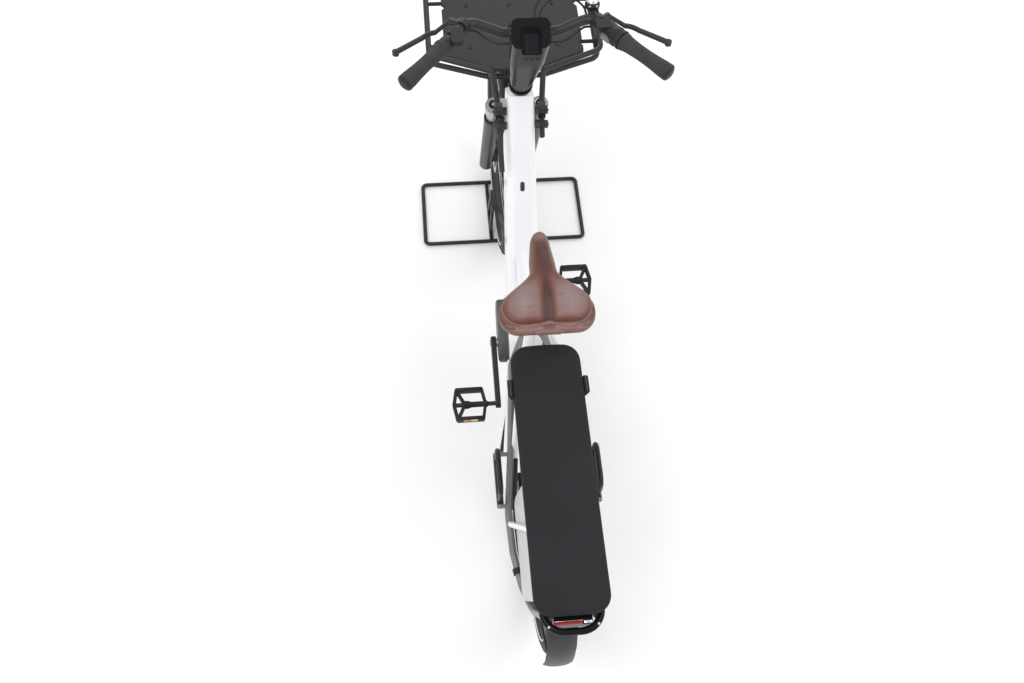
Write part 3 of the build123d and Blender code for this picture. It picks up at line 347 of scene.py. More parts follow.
def bolt(form, place, direction, radius, height):
    """A cap screw with a hexagon socket."""
    lathe(form, ((0.0, height * 0.35), (radius * 0.42, height * 0.35), (radius * 0.5, height * 0.94),
                 (radius * 0.84, height), (radius, height * 0.8), (radius, -0.001), (0.0, -0.001)),
          facing(place, direction), steps=12)


# Oval plug and slot in the down tube: the rubber plug of the charging socket on top
# and a slot in its left wall near the head.
sideways = Vector((1, 0, 0))
down_low = Vector((0.0, 0.015, 0.330))
down_top = Vector((0.0, 0.3445, 0.8226))
down_line = (down_top - down_low).normalized()
down_out = Vector((0.0, -down_line.z, down_line.y))
plug_share = 0.62
plug_rise = 0.049
plug_radius = 0.0055
plug_half = 0.007
plug_height = 0.0022
plug_edge = 0.0008
plug_sink = 0.0008
slot_share = 0.9
slot_x = -0.0362
slot_size = (0.0012, 0.024, 0.0032)
plug_rubber, place = new_material("plug_rubber", (0.035, 0.036, 0.04), 0.6)
place.noise(900.0, 1.0).bump(0.00005)
form = bmesh.new()
plug_place = down_low + (down_top - down_low) * plug_share + down_out * plug_rise
bmesh.ops.create_circle(form, cap_ends=True, segments=24, radius=plug_radius)
for vert in form.verts:
    vert.co.y += plug_half if vert.co.y > 0 else -plug_half
rise = bmesh.ops.extrude_face_region(form, geom=form.faces[:])["geom"]
raised = [item for item in rise if isinstance(item, bmesh.types.BMVert)]
bmesh.ops.translate(form, verts=raised, vec=(0, 0, plug_height))
rim = [edge for edge in form.edges if all(vert in raised for vert in edge.verts)]
bmesh.ops.bevel(form, geom=rim, offset=plug_edge, offset_type="OFFSET", segments=2, profile=0.5,
                affect="EDGES", material=-1)
plug_turn = Matrix.Translation(plug_place - down_out * plug_sink) @ axes(sideways, down_line, down_out)
bmesh.ops.transform(form, matrix=plug_turn, verts=form.verts)
fresh("socket_plug", form, plug_rubber, "frame")
slot_place = down_low + (down_top - down_low) * slot_share + sideways * slot_x
slot_turn = axes(sideways, down_line, sideways.cross(down_line))
form = bmesh.new()
soft_block(form, slot_size, slot_place, 0.0004, slot_turn)
fresh("tube_slot", form, plug_rubber, "frame")

# Drive unit: a cast casing with a fine blasted skin under two moulded side covers.
casting, place = new_material("casting", (0.12, 0.122, 0.13), 0.5, 0.4)
grain = place.noise(700.0, 2.0)
grain.spread(0.42, 0.6).to("Roughness")
grain.bump(0.00012)
refined("drive_unit", casting)
cover_plastic, place = new_material("cover_plastic", (0.07, 0.071, 0.075), 0.42)
grain = place.noise(1500.0, 2.0)
place.noise(14.0).between((0.06, 0.061, 0.065), (0.095, 0.096, 0.1)).to("Base Color")
grain.spread(0.36, 0.5).to("Roughness")
grain.bump(0.00008)
refined("motor_cover_left", cover_plastic)
refined("motor_cover_right", cover_plastic)

# Side rails and guard panels: grey-sprayed tube welded to the stays, with thin
# light-grey sheet panels that keep a coat or a load out of the wheel.
silver_paint, place = new_material("silver_paint", (0.2, 0.2, 0.205), 0.35, 0.3)
cloud = place.noise(12.0)
cloud.between((0.15, 0.15, 0.155), (0.25, 0.25, 0.255)).to("Base Color")
cloud.spread(0.24, 0.38).to("Roughness")
refined("side_rails", silver_paint)
panel_paint, place = new_material("panel_paint", (0.56, 0.56, 0.565), 0.5)
cloud = place.noise(7.0)
cloud.between((0.52, 0.52, 0.53), (0.60, 0.60, 0.605)).to("Base Color")
place.noise(500.0, 1.0).bump(0.00006)
refined("side_panels", panel_paint)

# Black-coated steel: seat post, racks, stand, footrests, levers and bar, all powder
# coated in a satin black that is worn a little paler where it is touched.
black_coat, place = new_material("black_coat", black, 0.38)
wear = place.noise(26.0, 4.0)
wear.between((0.010, 0.010, 0.012), (0.028, 0.028, 0.031)).to("Base Color")
wear.spread(0.26, 0.46).to("Roughness")
place.noise(1100.0, 1.0).bump(0.00006)
coated = ("seat_post", "display_stand", "footrest_left", "footrest_right", "centre_stand",
          "handlebar", "front_hub", "rear_hub", "front_caliper", "rear_caliper",
          "front_rim", "rear_rim")
for name in coated:
    refined(name, black_coat)
rack_leg_y = 0.27
leg_climb = 0.93
leg_kept = 0.3


def draw_up_leg(spot):
    """Shorten the right leg of the rack, which ends under its clamp."""
    if spot.x > 0 and spot.y < rack_leg_y:
        spot.z += (rack_leg_y - spot.y) * leg_climb
        spot.y = rack_leg_y - (rack_leg_y - spot.y) * leg_kept


refined("front_rack", black_coat, move=draw_up_leg)

# Cranks: forged arms in satin black with the front pulley on the right one.
crank_coat, place = new_material("crank_coat", (0.03, 0.03, 0.033), 0.32, 0.3)
place.noise(40.0).spread(0.26, 0.42).to("Roughness")
refined("crank_left", crank_coat)
refined("crank_right", crank_coat)

# Bare steel: spokes, saddle rails, crank axle and the rear pulley, bright and finely
# drawn along their length, and the brake discs, ground in circles.
bare_steel, place = new_material("bare_steel", (0.50, 0.50, 0.51), 0.3, 1.0)
place.noise(300.0, 2.0, (1, 1, 12)).spread(0.22, 0.4).to("Roughness")
for name in ("front_spokes", "rear_spokes", "saddle_rails", "crank_axle", "rear_pulley"):
    refined(name, bare_steel)
disc_steel, place = new_material("disc_steel", (0.56, 0.56, 0.565), 0.28, 1.0)
place.noise(220.0, 2.0, (8, 1, 1)).spread(0.2, 0.42).to("Roughness")
refined("front_rotor", disc_steel)
refined("rear_rotor", disc_steel)

# Fork: sprayed dark grey lower legs, bright anodised stanchions with black caps and
# rubber seals, each cap with a polished rim.
fork_paint, place = new_material("fork_paint", (0.07, 0.07, 0.073), 0.35, 0.2)
cloud = place.noise(11.0)
cloud.between((0.030, 0.030, 0.033), (0.06, 0.06, 0.063)).to("Base Color")
place.noise(800.0, 1.0).bump(0.00004)
refined("fork_lowers", fork_paint)
anodised, place = new_material("anodised", (0.48, 0.48, 0.49), 0.25, 0.85)
place.noise(260.0, 2.0, (1, 1, 8)).spread(0.2, 0.34).to("Roughness")
refined("fork_upper", anodised)
moulded, place = new_material("moulded", (0.014, 0.014, 0.016), 0.45, specular=0.25)
place.noise(12.0).between((0.010, 0.010, 0.012), (0.022, 0.022, 0.025)).to("Base Color")
grain = place.noise(1300.0, 1.0)
grain.spread(0.38, 0.56).to("Roughness")
grain.bump(0.00006)
refined("fork_caps", moulded)
steer_up = Vector((0.0, -0.358368, 0.93358))
cap_middle = Vector((0.0, 0.3737, 0.7464))
leg_spread = 0.059
cap_rise = 0.004
rim_outline = ((0.0122, -0.004), (0.0135, -0.004), (0.0148, -0.002), (0.0148, -0.0005),
               (0.0135, 0.0012), (0.0122, 0.0005), (0.0122, -0.004))
form = bmesh.new()
for side in (-1, 1):
    cap_place = cap_middle + sideways * (side * leg_spread)
    lathe(form, rim_outline, facing(cap_place, steer_up))
    bolt(form, cap_place + steer_up * cap_rise, steer_up, 0.0045, 0.002)
fresh("cap_rims", form, anodised, "front_end")

# Spacer ring and stem: the ring is polished black, the stem a gloss black moulding
# with a display let into its sloping back and a strip of keys under it.
gloss_black, place = new_material("gloss_black", (0.005, 0.005, 0.006), 0.26, specular=0.14)
place.noise(18.0).spread(0.18, 0.32).to("Roughness")
place.noise(30.0, 2.0).bump(0.0002)
refined("spacer_ring", gloss_black)
refined("stem", gloss_black, 28.0)
screen_glass, place = new_material("screen_glass", (0.003, 0.003, 0.004), 0.14, specular=0.1)
window_z = 1.127
window_half_x = 0.015
window_half_z = 0.013
window = place.part("X").line(0.0, window_half_x, crisp)
window *= place.part("Z").line(window_z, window_half_z, crisp)
window.between((0.003, 0.003, 0.004), (0.010, 0.011, 0.013)).to("Base Color")
refined("display", screen_glass)
display_rest = Vector((0.0, 0.2022, 1.1278))
display_slope = radians(38.0)
display_out = Vector((0.0, -sin(display_slope), cos(display_slope)))
display_down = Vector((0.0, -cos(display_slope), -sin(display_slope)))
display_length = 0.058
key_size = (0.0105, 0.0075, 0.0022)
key_gap = 0.0075
key_pitch = 0.0125
key_row = display_rest + display_down * (display_length / 2 + key_gap)
form = bmesh.new()
for index in (-1, 0, 1):
    soft_block(form, key_size, key_row + sideways * (index * key_pitch), 0.0007,
               axes(sideways, -display_down, display_out))
fresh("key_strip", form, moulded, "front_end")
bar_middle = Vector((0.0, 0.2298, 1.1214))
clamp_bolt = Vector((0.0435, 0.012, 0.0145))
form = bmesh.new()
for side in (-1, 1):
    for end in (-1, 1):
        bolt(form, bar_middle + clamp_bolt * Vector((side, end, 1)), (0, 0, 1), 0.0036, 0.003)
fresh("clamp_bolts", form, black_coat, "front_end")
ring_r = 0.021
ring_wire = 0.0022
ring_place = bar_middle + Vector((-0.012, 0.032, -0.004))
ring_outline = [(ring_r + ring_wire * cos(radians(angle)), ring_wire * sin(radians(angle)))
                for angle in range(0, 361, 45)]
form = bmesh.new()
lathe(form, ring_outline, facing(ring_place, (0, 0.25, 1)), steps=40)
fresh("hose_ring", form, anodised, "front_end")

# Controls: moulded shifter, remote and hoses, rubber grips with ribbed collars and
# end caps, and a chromed bell on a black base.
hose_y = 0.25
hose_kept = 0.55
lever_pull = 0.028
lever_inner = 0.165
lever_outer = 0.285
refined("shifter", moulded)
refined("remote", moulded)


def pull_hoses(spot):
    """Bring the loops of the hoses back towards the bar."""
    if spot.y > hose_y:
        spot.y = hose_y + (spot.y - hose_y) * hose_kept


def pull_levers(spot):
    """Bring the middle of each lever back towards its grip."""
    reach = abs(spot.x)
    inner = soft_step((reach - lever_inner) / 0.03)
    outer = soft_step((lever_outer - reach) / 0.06)
    spot.y -= lever_pull * inner * outer


refined("bar_hoses", moulded, move=pull_hoses)
refined("brake_levers", black_coat, move=pull_levers)
refined("rail_cable", moulded)
grip_rubber, place = new_material("grip_rubber", (0.025, 0.025, 0.027), 0.62)
ribs = place.waves(170.0, "DIAGONAL")
speckle = place.noise(60.0, 4.0)
speckle.between((0.020, 0.020, 0.022), (0.038, 0.038, 0.041)).to("Base Color")
(ribs * 0.7 + speckle).bump(0.0004)
inner_bend = Vector((0.179, 0.1758, 1.1544))
outer_bend = Vector((0.269, 0.0708, 1.1564))
grip_line = (outer_bend - inner_bend).normalized()
bar_r = 0.0112
grip_outline = ((bar_r, 0.012), (0.0185, 0.012), (0.0190, 0.013), (0.0190, 0.019), (0.0180, 0.020),
                (0.0174, 0.024), (0.0162, 0.036), (0.0152, 0.055), (0.0150, 0.072), (0.0156, 0.092),
                (0.0168, 0.110), (0.0178, 0.124), (0.0178, 0.1255), (0.0170, 0.1265),
                (0.0170, 0.1285), (0.0180, 0.1295), (0.0180, 0.136), (0.0172, 0.1375),
                (bar_r, 0.1375), (bar_r, 0.012))
cap_outline = ((0.0, 0.1415), (0.010, 0.1415), (0.0135, 0.140), (0.0155, 0.1375), (0.0155, 0.136),
               (0.0, 0.136))
left_barrel = ((bar_r, -0.010), (0.0160, -0.010), (0.0170, -0.008), (0.0170, 0.0112),
               (bar_r, 0.0112), (bar_r, -0.010))
right_barrel = ((bar_r, -0.016), (0.0185, -0.016), (0.0205, -0.013), (0.0212, -0.004),
                (0.0212, -0.002), (0.0198, -0.001), (0.0198, 0.006), (0.0208, 0.007),
                (0.0208, 0.0112), (bar_r, 0.0112), (bar_r, -0.016))
form = bmesh.new()
caps = bmesh.new()
barrels = bmesh.new()
for side, barrel in ((-1, left_barrel), (1, right_barrel)):
    flip = Vector((side, 1, 1))
    on_bar = facing(inner_bend * flip, grip_line * flip)
    lathe(form, grip_outline, on_bar, steps=40)
    lathe(caps, cap_outline, on_bar)
    lathe(barrels, barrel, on_bar, steps=40)
grips = fresh("grip_sleeves", form, grip_rubber, "front_end")
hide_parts("grips")
fresh("grip_caps", caps, moulded, "front_end")
fresh("bar_barrels", barrels, moulded, "front_end")
window_grey, place = new_material("window_grey", (0.14, 0.14, 0.145), 0.2, specular=0.5)
place.waves(140.0, "X").spread(0.12, 0.3).to("Roughness")
window_size = (0.026, 0.017, 0.012)
window_place = (0.1545, 0.1815, 1.152)
window_turn = Matrix.Rotation(radians(-52), 4, "Z")
form = bmesh.new()
soft_block(form, window_size, window_place, 0.003, window_turn)
fresh("gear_window", form, window_grey, "front_end")
refined("bell", moulded)
chrome, place = new_material("chrome", (0.78, 0.78, 0.80), 0.07, 1.0)
place.noise(25.0).spread(0.04, 0.13).to("Roughness")
dome_r = 0.0148
dome_rim = [(0.0152, -0.0015), (0.0138, -0.0015), (0.0, -0.0015)]
bell_low, bell_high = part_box("bell")
dome_place = Vector(((bell_low.x + bell_high.x) / 2, bell_high.y - 0.012, bell_high.z - 0.006))
form = bmesh.new()
dome = [(dome_r * sin(radians(angle)), dome_r * cos(radians(angle))) for angle in range(0, 91, 10)]
lathe(form, dome + dome_rim, facing(dome_place, (0, 0.5, 1)))
fresh("bell_dome", form, chrome, "front_end")
form = bmesh.new()
for side in (-1, 1):
    bolt(form, dome_place + Vector((side * 0.0075, -0.0155, 0.0)), (0, -0.7, 1), 0.0025, 0.0035)
fresh("bell_screws", form, anodised, "front_end")

# Tray board: birch ply with a charcoal film, screwed to the rack's bars.
film, place = new_material("film_board", (0.024, 0.025, 0.027), 0.6, specular=0.25)
fibres = place.noise(60.0, 5.0, (1, 14, 1))
fibres.between((0.018, 0.019, 0.021), (0.035, 0.036, 0.039)).to("Base Color")
place.cells(520.0).bump(0.0002)
refined("tray_board", film)
board_rows = (0.075, 0.22, 0.36)
board_columns = (-0.11, 0.0, 0.11)
screw_lift = 0.0002
board_low, board_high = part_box("tray_board")
form = bmesh.new()
for ahead in board_rows:
    for side in board_columns:
        bolt(form, Vector((side, board_low.y + ahead, board_high.z + screw_lift)), (0, 0, 1), 0.0048, 0.0024)
fresh("board_screws", form, black_coat, "frame")

# Rack clamps: two blocks a side hold the posts to the down tube, with cap screws.
clamp_middle = Vector((0.0, 0.307, 0.796))
clamp_turn = facing((0, 0, 0), (0, -0.55, 0.84))
clamp_size = (0.031, 0.019, 0.013)
clamp_x = 0.0505
# How far ahead of and above the middle each block sits.
clamp_steps = ((-0.008, 0.008), (-0.03, -0.018))
form = bmesh.new()
for side in (-1, 1):
    for ahead, height in clamp_steps:
        block_place = clamp_middle + Vector((side * clamp_x, ahead, height))
        soft_block(form, clamp_size, block_place, 0.0018, clamp_turn)
        bolt(form, block_place + sideways * (side * clamp_size[0] / 2), (side, 0, 0), 0.0035, 0.002)
fresh("rack_clamps", form, black_coat, "frame")

# Headlamp: a black bucket with a bright domed glass.
refined("headlamp", gloss_black)
lamp_low, lamp_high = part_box("headlamp")
lens_glass, place = new_material("lens_glass", (0.75, 0.77, 0.80), 0.06, 0.6, Coat_Weight=0.8)
place.waves(60.0, "X").spread(0.04, 0.22).to("Roughness")
lens_drop = 0.024
lens_sink = 0.0012
lens_outline = ((0.0, 0.0014), (0.010, 0.0011), (0.017, 0.0004), (0.0205, -0.0008), (0.0205, -0.004),
                (0.0, -0.004))
lens_place = Vector(((lamp_low.x + lamp_high.x) / 2, lamp_high.y, lamp_high.z - lens_drop))
form = bmesh.new()
lathe(form, lens_outline, facing(lens_place - Vector((0, lens_sink, 0)), (0, 1, 0)))
fresh("lamp_lens", form, lens_glass, "frame")

# Loop behind the pad and the tail light: a gloss black moulded bow with two screws
# and, inside it, a red lens with bright trim.
bow_half = 0.058
bow_corner = 0.042
bow_r = 0.0076
bow_flare = 0.001
bow_start = 0.008
rail_half = 0.048
rail_end = -0.862
loop_low, loop_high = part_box("rack_end_loop")
bow_height = (loop_low.z + loop_high.z) / 2
bow_back = loop_low.y + bow_r


def bent_bar(name, points, radius, material, body):
    """A round bar swept through points."""
    curve = bpy.data.curves.new(name, "CURVE")
    curve.dimensions = "3D"
    curve.bevel_depth = radius
    curve.bevel_resolution = 5
    curve.use_fill_caps = True
    spline = curve.splines.new("POLY")
    spline.points.add(len(points) - 1)
    for point, target in zip(points, spline.points):
        target.co = (*point, 1.0)
    shape = bpy.data.objects.new(name, curve)
    mesh = bpy.data.meshes.new_from_object(shape)
    bpy.data.objects.remove(shape)
    form = bmesh.new()
    form.from_mesh(mesh)
    return fresh(name, form, material, body, 50.0)


bow = [Vector((-rail_half, rail_end, bow_height)),
       Vector((bow_flare - bow_half, loop_high.y + bow_start, bow_height))]
for centre_x, start in ((bow_corner - bow_half, 180), (bow_half - bow_corner, 270)):
    for step in range(0, 91, 10):
        angle = radians(start + step)
        bow.append(Vector((centre_x + bow_corner * cos(angle),
                           bow_back + bow_corner + bow_corner * sin(angle), bow_height)))
bow += [Vector((bow_half - bow_flare, loop_high.y + bow_start, bow_height)),
        Vector((rail_half, rail_end, bow_height))]
loop = bent_bar("end_bow", bow, bow_r, gloss_black, "frame")
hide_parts("rack_end_loop")
refined("tail_light", gloss_black)
red_lens, place = new_material("red_lens", (0.42, 0.012, 0.016), 0.14, specular=0.5)
cells = place.waves(190.0, "X")
cells.between((0.46, 0.014, 0.02), (0.30, 0.006, 0.008)).to("Base Color")
cells.bump(0.0006)
light_low, light_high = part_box("tail_light")
lens_x = -0.009
lens_top = light_high.z + 0.0002
form = bmesh.new()
soft_block(form, (0.054, 0.0065, 0.004), (lens_x, light_low.y + 0.0030, lens_top), 0.001)
fresh("tail_lens", form, red_lens, "frame")
form = bmesh.new()
soft_block(form, (0.016, 0.009, 0.004), (0.0285, light_low.y + 0.0055, lens_top), 0.0012)
soft_block(form, (0.056, 0.0012, 0.003), (lens_x, light_low.y + 0.0075, lens_top), 0.0004)
fresh("lens_trim", form, chrome, "frame")
screw_inset = 0.009
screw_ahead = 0.010
screw_sink = 0.0006
screw_height = bow_height + bow_r - screw_sink
form = bmesh.new()
for side in (-1, 1):
    screw_place = Vector((side * (bow_half - screw_inset), bow_back + screw_ahead, screw_height))
    bolt(form, screw_place, (0, 0, 1), 0.0026, 0.0014)
fresh("bow_screws", form, chrome, "frame")

# Rear fender: injection-moulded charcoal plastic with a smooth satin skin.
fender_skin, place = new_material("fender_skin", (0.025, 0.025, 0.027), 0.42, specular=0.2)
dust = place.noise(16.0, 5.0)
dust.between((0.017, 0.017, 0.019), (0.034, 0.034, 0.036)).to("Base Color")
dust.spread(0.3, 0.5).to("Roughness")
rear_axle_y = -0.551
wheel_r = 0.340
fender_half = 0.0325
fender_slack = 0.001
crown_start = 0.335
crown_rise = 0.007


def square_up(spot):
    """Flatten the fender's crown, so that its edges stand nearly as far out."""
    if abs(spot.x) > fender_half + fender_slack:
        return
    ahead = spot.y - rear_axle_y
    up = spot.z - wheel_r
    reach = (ahead * ahead + up * up) ** 0.5
    if reach > crown_start:
        grown = 1 + crown_rise * (spot.x / fender_half) ** 2 / reach
        spot.y = rear_axle_y + ahead * grown
        spot.z = wheel_r + up * grown


refined("rear_fender", fender_skin, 40.0, move=square_up)

# Drive belt: toothed rubber with a matt dusty face.
belt_rubber, place = new_material("belt_rubber", (0.03, 0.03, 0.031), 0.75)
place.waves(110.0, "Y").bump(0.0006)
refined("drive_belt", belt_rubber)

# Pedals: moulded cages on steel axles, with amber and pale reflectors in the front
# and back edges and small round studs for grip.
beam_lap = 0.55
beam_edge = 0.0016


def reflector(name, colour):
    """Reflector plastic with small prisms moulded in."""
    material, place = new_material(name, colour, 0.2, specular=0.5)
    place.cells(450.0).bump(0.0004)
    return material


def beam(form, start, end, width, height):
    """A rounded bar between two points, level across its width."""
    run = end - start
    turn = Matrix.Rotation(-Vector((1, 0)).angle_signed(run.xy), 4, "Z")
    soft_block(form, (run.length + width * beam_lap, width, height), (start + end) / 2, beam_edge, turn)


amber = reflector("amber_reflector", (0.62, 0.17, 0.01))
pale = reflector("pale_reflector", (0.75, 0.62, 0.22))
# Where each bar of the cage starts and ends, outwards and forwards, its width and height.
cage = (((0.033, 0.042), (-0.033, 0.042), 0.0105, 0.019), ((0.033, -0.042), (-0.033, -0.042), 0.0105, 0.019),
        ((-0.034, 0.042), (-0.0415, 0.0), 0.008, 0.015), ((-0.034, -0.042), (-0.0415, 0.0), 0.008, 0.015),
        ((0.034, 0.042), (0.0415, 0.0), 0.009, 0.015), ((0.034, -0.042), (0.0415, 0.0), 0.009, 0.015),
        ((0.013, 0.0), (0.031, 0.038), 0.008, 0.015), ((0.013, 0.0), (0.031, -0.038), 0.008, 0.015))
hub_outline = ((0.0, 0.069), (0.008, 0.069), (0.0110, 0.065), (0.0110, 0.056), (0.0078, 0.046),
               (0.0075, 0.014), (0.0088, 0.010), (0.0088, 0.004), (0.006, 0.002), (0.006, -0.006),
               (0.0, -0.006))
hub_inset = 0.0505
strip_size = (0.018, 0.003, 0.010)
strip_x = 0.0095
strip_y = 0.0465
strip_z = 0.003
stud_columns = (-0.032, -0.011, 0.011, 0.032)
stud_y = 0.042
stud_z = 0.0092
for side_name, outwards in (("left", -1), ("right", 1)):
    body = f"pedal_{side_name}"
    low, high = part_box(body)
    middle = (low + high) / 2
    form = bmesh.new()
    for (x0, y0), (x1, y1), width, height in cage:
        start = middle + Vector((x0 * outwards, y0, 0))
        end = middle + Vector((x1 * outwards, y1, 0))
        beam(form, start, end, width, height)
    hub = middle - sideways * (outwards * hub_inset)
    lathe(form, hub_outline, facing(hub, (outwards, 0, 0)), steps=24)
    pedal = fresh(f"{body}_cage", form, moulded, body)
    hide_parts(body)
    form = bmesh.new()
    yellow = bmesh.new()
    for end in (-1, 1):
        soft_block(form, strip_size, middle + Vector((-strip_x, end * strip_y, strip_z)), 0.0006)
        soft_block(yellow, strip_size, middle + Vector((strip_x, end * strip_y, strip_z)), 0.0006)
    fresh(f"amber_strips_{side_name}", form, amber, body)
    fresh(f"pale_strips_{side_name}", yellow, pale, body)
    form = bmesh.new()
    for x in stud_columns:
        for end in (-1, 1):
            for up in (-1, 1):
                bolt(form, middle + Vector((x, end * stud_y, up * stud_z)), (0, 0, up), 0.0016, 0.0018)
    fresh(f"pedal_studs_{side_name}", form, black_coat, body)

# Tyres: black rubber on 26 inch rims, with two rows of shoulder blocks, two of crown
# blocks and a pale reflective line round each wall.
tyre_half = 0.030
tyre_rise = 0.056
rim_half = 0.0148
bead_half = 0.003
bulge_r = 0.296
bulge_half = 0.0248
skin_drop = 0.0014
crown_r = wheel_r - skin_drop - tyre_half
line_r = 0.302
block_count = 84
block_height = 0.0034
block_sink = 0.0018
block_taper = (0.86, 0.84)
block_skew = 18
# Lean, width and length of each row of blocks.
block_rows = ((-43, 0.0085, 0.0125), (-15, 0.0095, 0.0150), (15, 0.0095, 0.0150), (43, 0.0085, 0.0125))
spoke_count = 32
spoke_x = 0.004
nipple_r = wheel_r - tyre_rise - 0.024
nipple_outline = ((0.0012, -0.010), (0.0019, -0.009), (0.0019, 0.0), (0.0, 0.0))
valve_angle = 0.1
valve_outline = ((0.0, -0.044), (0.0022, -0.043), (0.0022, -0.036), (0.003, -0.035), (0.003, 0.0), (0.0, 0.0))
wall = ((wheel_r - tyre_rise - bead_half, rim_half), (wheel_r - tyre_rise + bead_half, rim_half + 0.002),
        (bulge_r, bulge_half), (crown_r - 0.006, tyre_half - 0.0004))
tyre_outline = [(radius, -half) for radius, half in wall]
tyre_outline += [(crown_r + tyre_half * sin(radians(angle)), -tyre_half * cos(radians(angle)))
                 for angle in range(0, 181, 12)]
tyre_outline += [(radius, half) for radius, half in reversed(wall)] + tyre_outline[:1]


def tread_block(lean, width, length):
    """One block of the tread round the origin, and how it stands on the crown."""
    block = bmesh.new()
    bmesh.ops.create_cube(block, size=1.0)
    for vert in block.verts:
        if vert.co.z > 0:
            vert.co.x *= block_taper[0]
            vert.co.y *= block_taper[1]
    bmesh.ops.scale(block, vec=(width, length, block_height), verts=block.verts)
    skew = Matrix.Rotation(radians(-block_skew if lean < 0 else block_skew), 4, "Z")
    out = Matrix.Translation((0, 0, tyre_half + skin_drop - block_sink))
    return block, Matrix.Rotation(radians(lean), 4, "Y") @ out @ skew


for name in ("front", "rear"):
    low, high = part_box(f"{name}_tyre")
    centre = Vector((0, (low.y + high.y) / 2, wheel_r))
    tyre_rubber, place = new_material(f"{name}_tyre_rubber", (0.03, 0.03, 0.031), 0.7)
    ahead = place.part("Y") - centre.y
    up = place.part("Z") - wheel_r
    reach = (ahead * ahead + up * up).maths("SQRT")
    dust = place.noise(24.0, 5.0)
    worn = dust.between((0.018, 0.018, 0.019), (0.045, 0.044, 0.043))
    reach.line(line_r, 0.0018, 0.0008).between(worn, (0.72, 0.72, 0.71)).to("Base Color")
    ((reach * 1900.0).maths("SINE") * 0.3 + dust).bump(0.0003)
    form = bmesh.new()
    lathe(form, tyre_outline, facing(centre, (1, 0, 0)), steps=144)
    for index in range(block_count):
        for row, (lean, width, length) in enumerate(block_rows):
            block, stand = tread_block(lean, width, length)
            step = radians(360 * (index + 0.5 * (row % 2)) / block_count)
            spun = Matrix.Translation(centre) @ Matrix.Rotation(step, 4, "X")
            add_part(form, block, spun @ Matrix.Translation((0, 0, crown_r)) @ stand)
    tyre = fresh(f"{name}_tyre_dressed", form, tyre_rubber, f"{name}_wheel")
    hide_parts(f"{name}_tyre")
    form = bmesh.new()
    for index in range(spoke_count):
        angle = radians(360 * index / spoke_count)
        side = spoke_x if index % 2 else -spoke_x
        outwards = Vector((0, cos(angle), sin(angle)))
        lathe(form, nipple_outline, facing(centre + sideways * side + outwards * nipple_r, outwards), steps=8)
    outwards = Vector((0, cos(valve_angle), sin(valve_angle)))
    lathe(form, valve_outline, facing(centre + outwards * nipple_r, outwards), steps=12)
    fresh(f"{name}_nipples", form, bare_steel, f"{name}_wheel")

# Brake and crank fixings: six screws on each disc, two on each caliper and one in
# the end of each crank arm.
disc_x = {"front": -0.033, "rear": -0.062}
disc_skin = 0.0012
disc_screw_r = 0.0205
crank_end_x = 0.0888
caliper_share = 0.28
for name in ("front", "rear"):
    low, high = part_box(f"{name}_rotor")
    form = bmesh.new()
    for index in range(6):
        angle = radians(60 * index + 30)
        spot = Vector((disc_x[name] - disc_skin, (low.y + high.y) / 2 + disc_screw_r * cos(angle),
                       wheel_r + disc_screw_r * sin(angle)))
        bolt(form, spot, (-1, 0, 0), 0.003, 0.0022)
    fresh(f"{name}_disc_screws", form, bare_steel, f"{name}_wheel")
low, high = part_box("crank_axle")
form = bmesh.new()
for side in (-1, 1):
    crank_end = Vector((side * crank_end_x, (low.y + high.y) / 2, (low.z + high.z) / 2))
    bolt(form, crank_end, (side, 0, 0), 0.0075, 0.003)
fresh("crank_screws", form, bare_steel, "crank")
for name, body in (("front", "front_end"), ("rear", "frame")):
    low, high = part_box(f"{name}_caliper")
    form = bmesh.new()
    for up in (-caliper_share, caliper_share):
        spot = Vector((low.x, (low.y + high.y) / 2, (low.z + high.z) / 2 + up * (high.z - low.z)))
        bolt(form, spot, (-1, 0, 0), 0.0036, 0.003)
    fresh(f"{name}_caliper_screws", form, bare_steel, body)

# Seat pad: a firm foam pad in a tight woven charcoal cover, crowned and softly
# rounded, with a piped seam round its top edge and a tab on each side.
pad_voxel = 0.005
pad_crown = 0.004
pad_edge_drop = 0.003
pad_bulge = 0.002
pad_end = 0.9
pad_end_bulge = 0.004
pad_lift = 0.0002
weave, place = new_material("pad_weave", (0.02, 0.02, 0.023), 0.85, specular=0.15)
rows = place.waves(330.0, "Y", 1.2)
columns = place.waves(260.0, "X", 1.0)
cloth = place.noise(8.0, 4.0)
cloth.between((0.018, 0.018, 0.021), (0.029, 0.028, 0.032)).to("Base Color")
(rows * 0.7 + columns * 0.3).bump(0.0003)


def remeshed(name, source, voxel):
    """A node's shape as one even skin of small faces, for soft shaping."""
    form = bmesh.new()
    form.from_mesh(frame["nodes"][source].data)
    bmesh.ops.remove_doubles(form, verts=form.verts, dist=merge_gap)
    mesh = bpy.data.meshes.new(name)
    form.to_mesh(mesh)
    form.free()
    shape = bpy.data.objects.new(name, mesh)
    bpy.context.scene.collection.objects.link(shape)
    remesh = shape.modifiers.new("even", "REMESH")
    remesh.mode = "VOXEL"
    remesh.voxel_size = voxel
    evaluated = shape.evaluated_get(bpy.context.evaluated_depsgraph_get())
    form = bmesh.new()
    form.from_mesh(bpy.data.meshes.new_from_object(evaluated))
    bpy.data.objects.remove(shape)
    return form


def relax(form, turns):
    """Even out a form's skin."""
    for turn in range(turns):
        bmesh.ops.smooth_vert(form, verts=form.verts, factor=0.5, use_axis_x=True, use_axis_y=True,
                              use_axis_z=True)


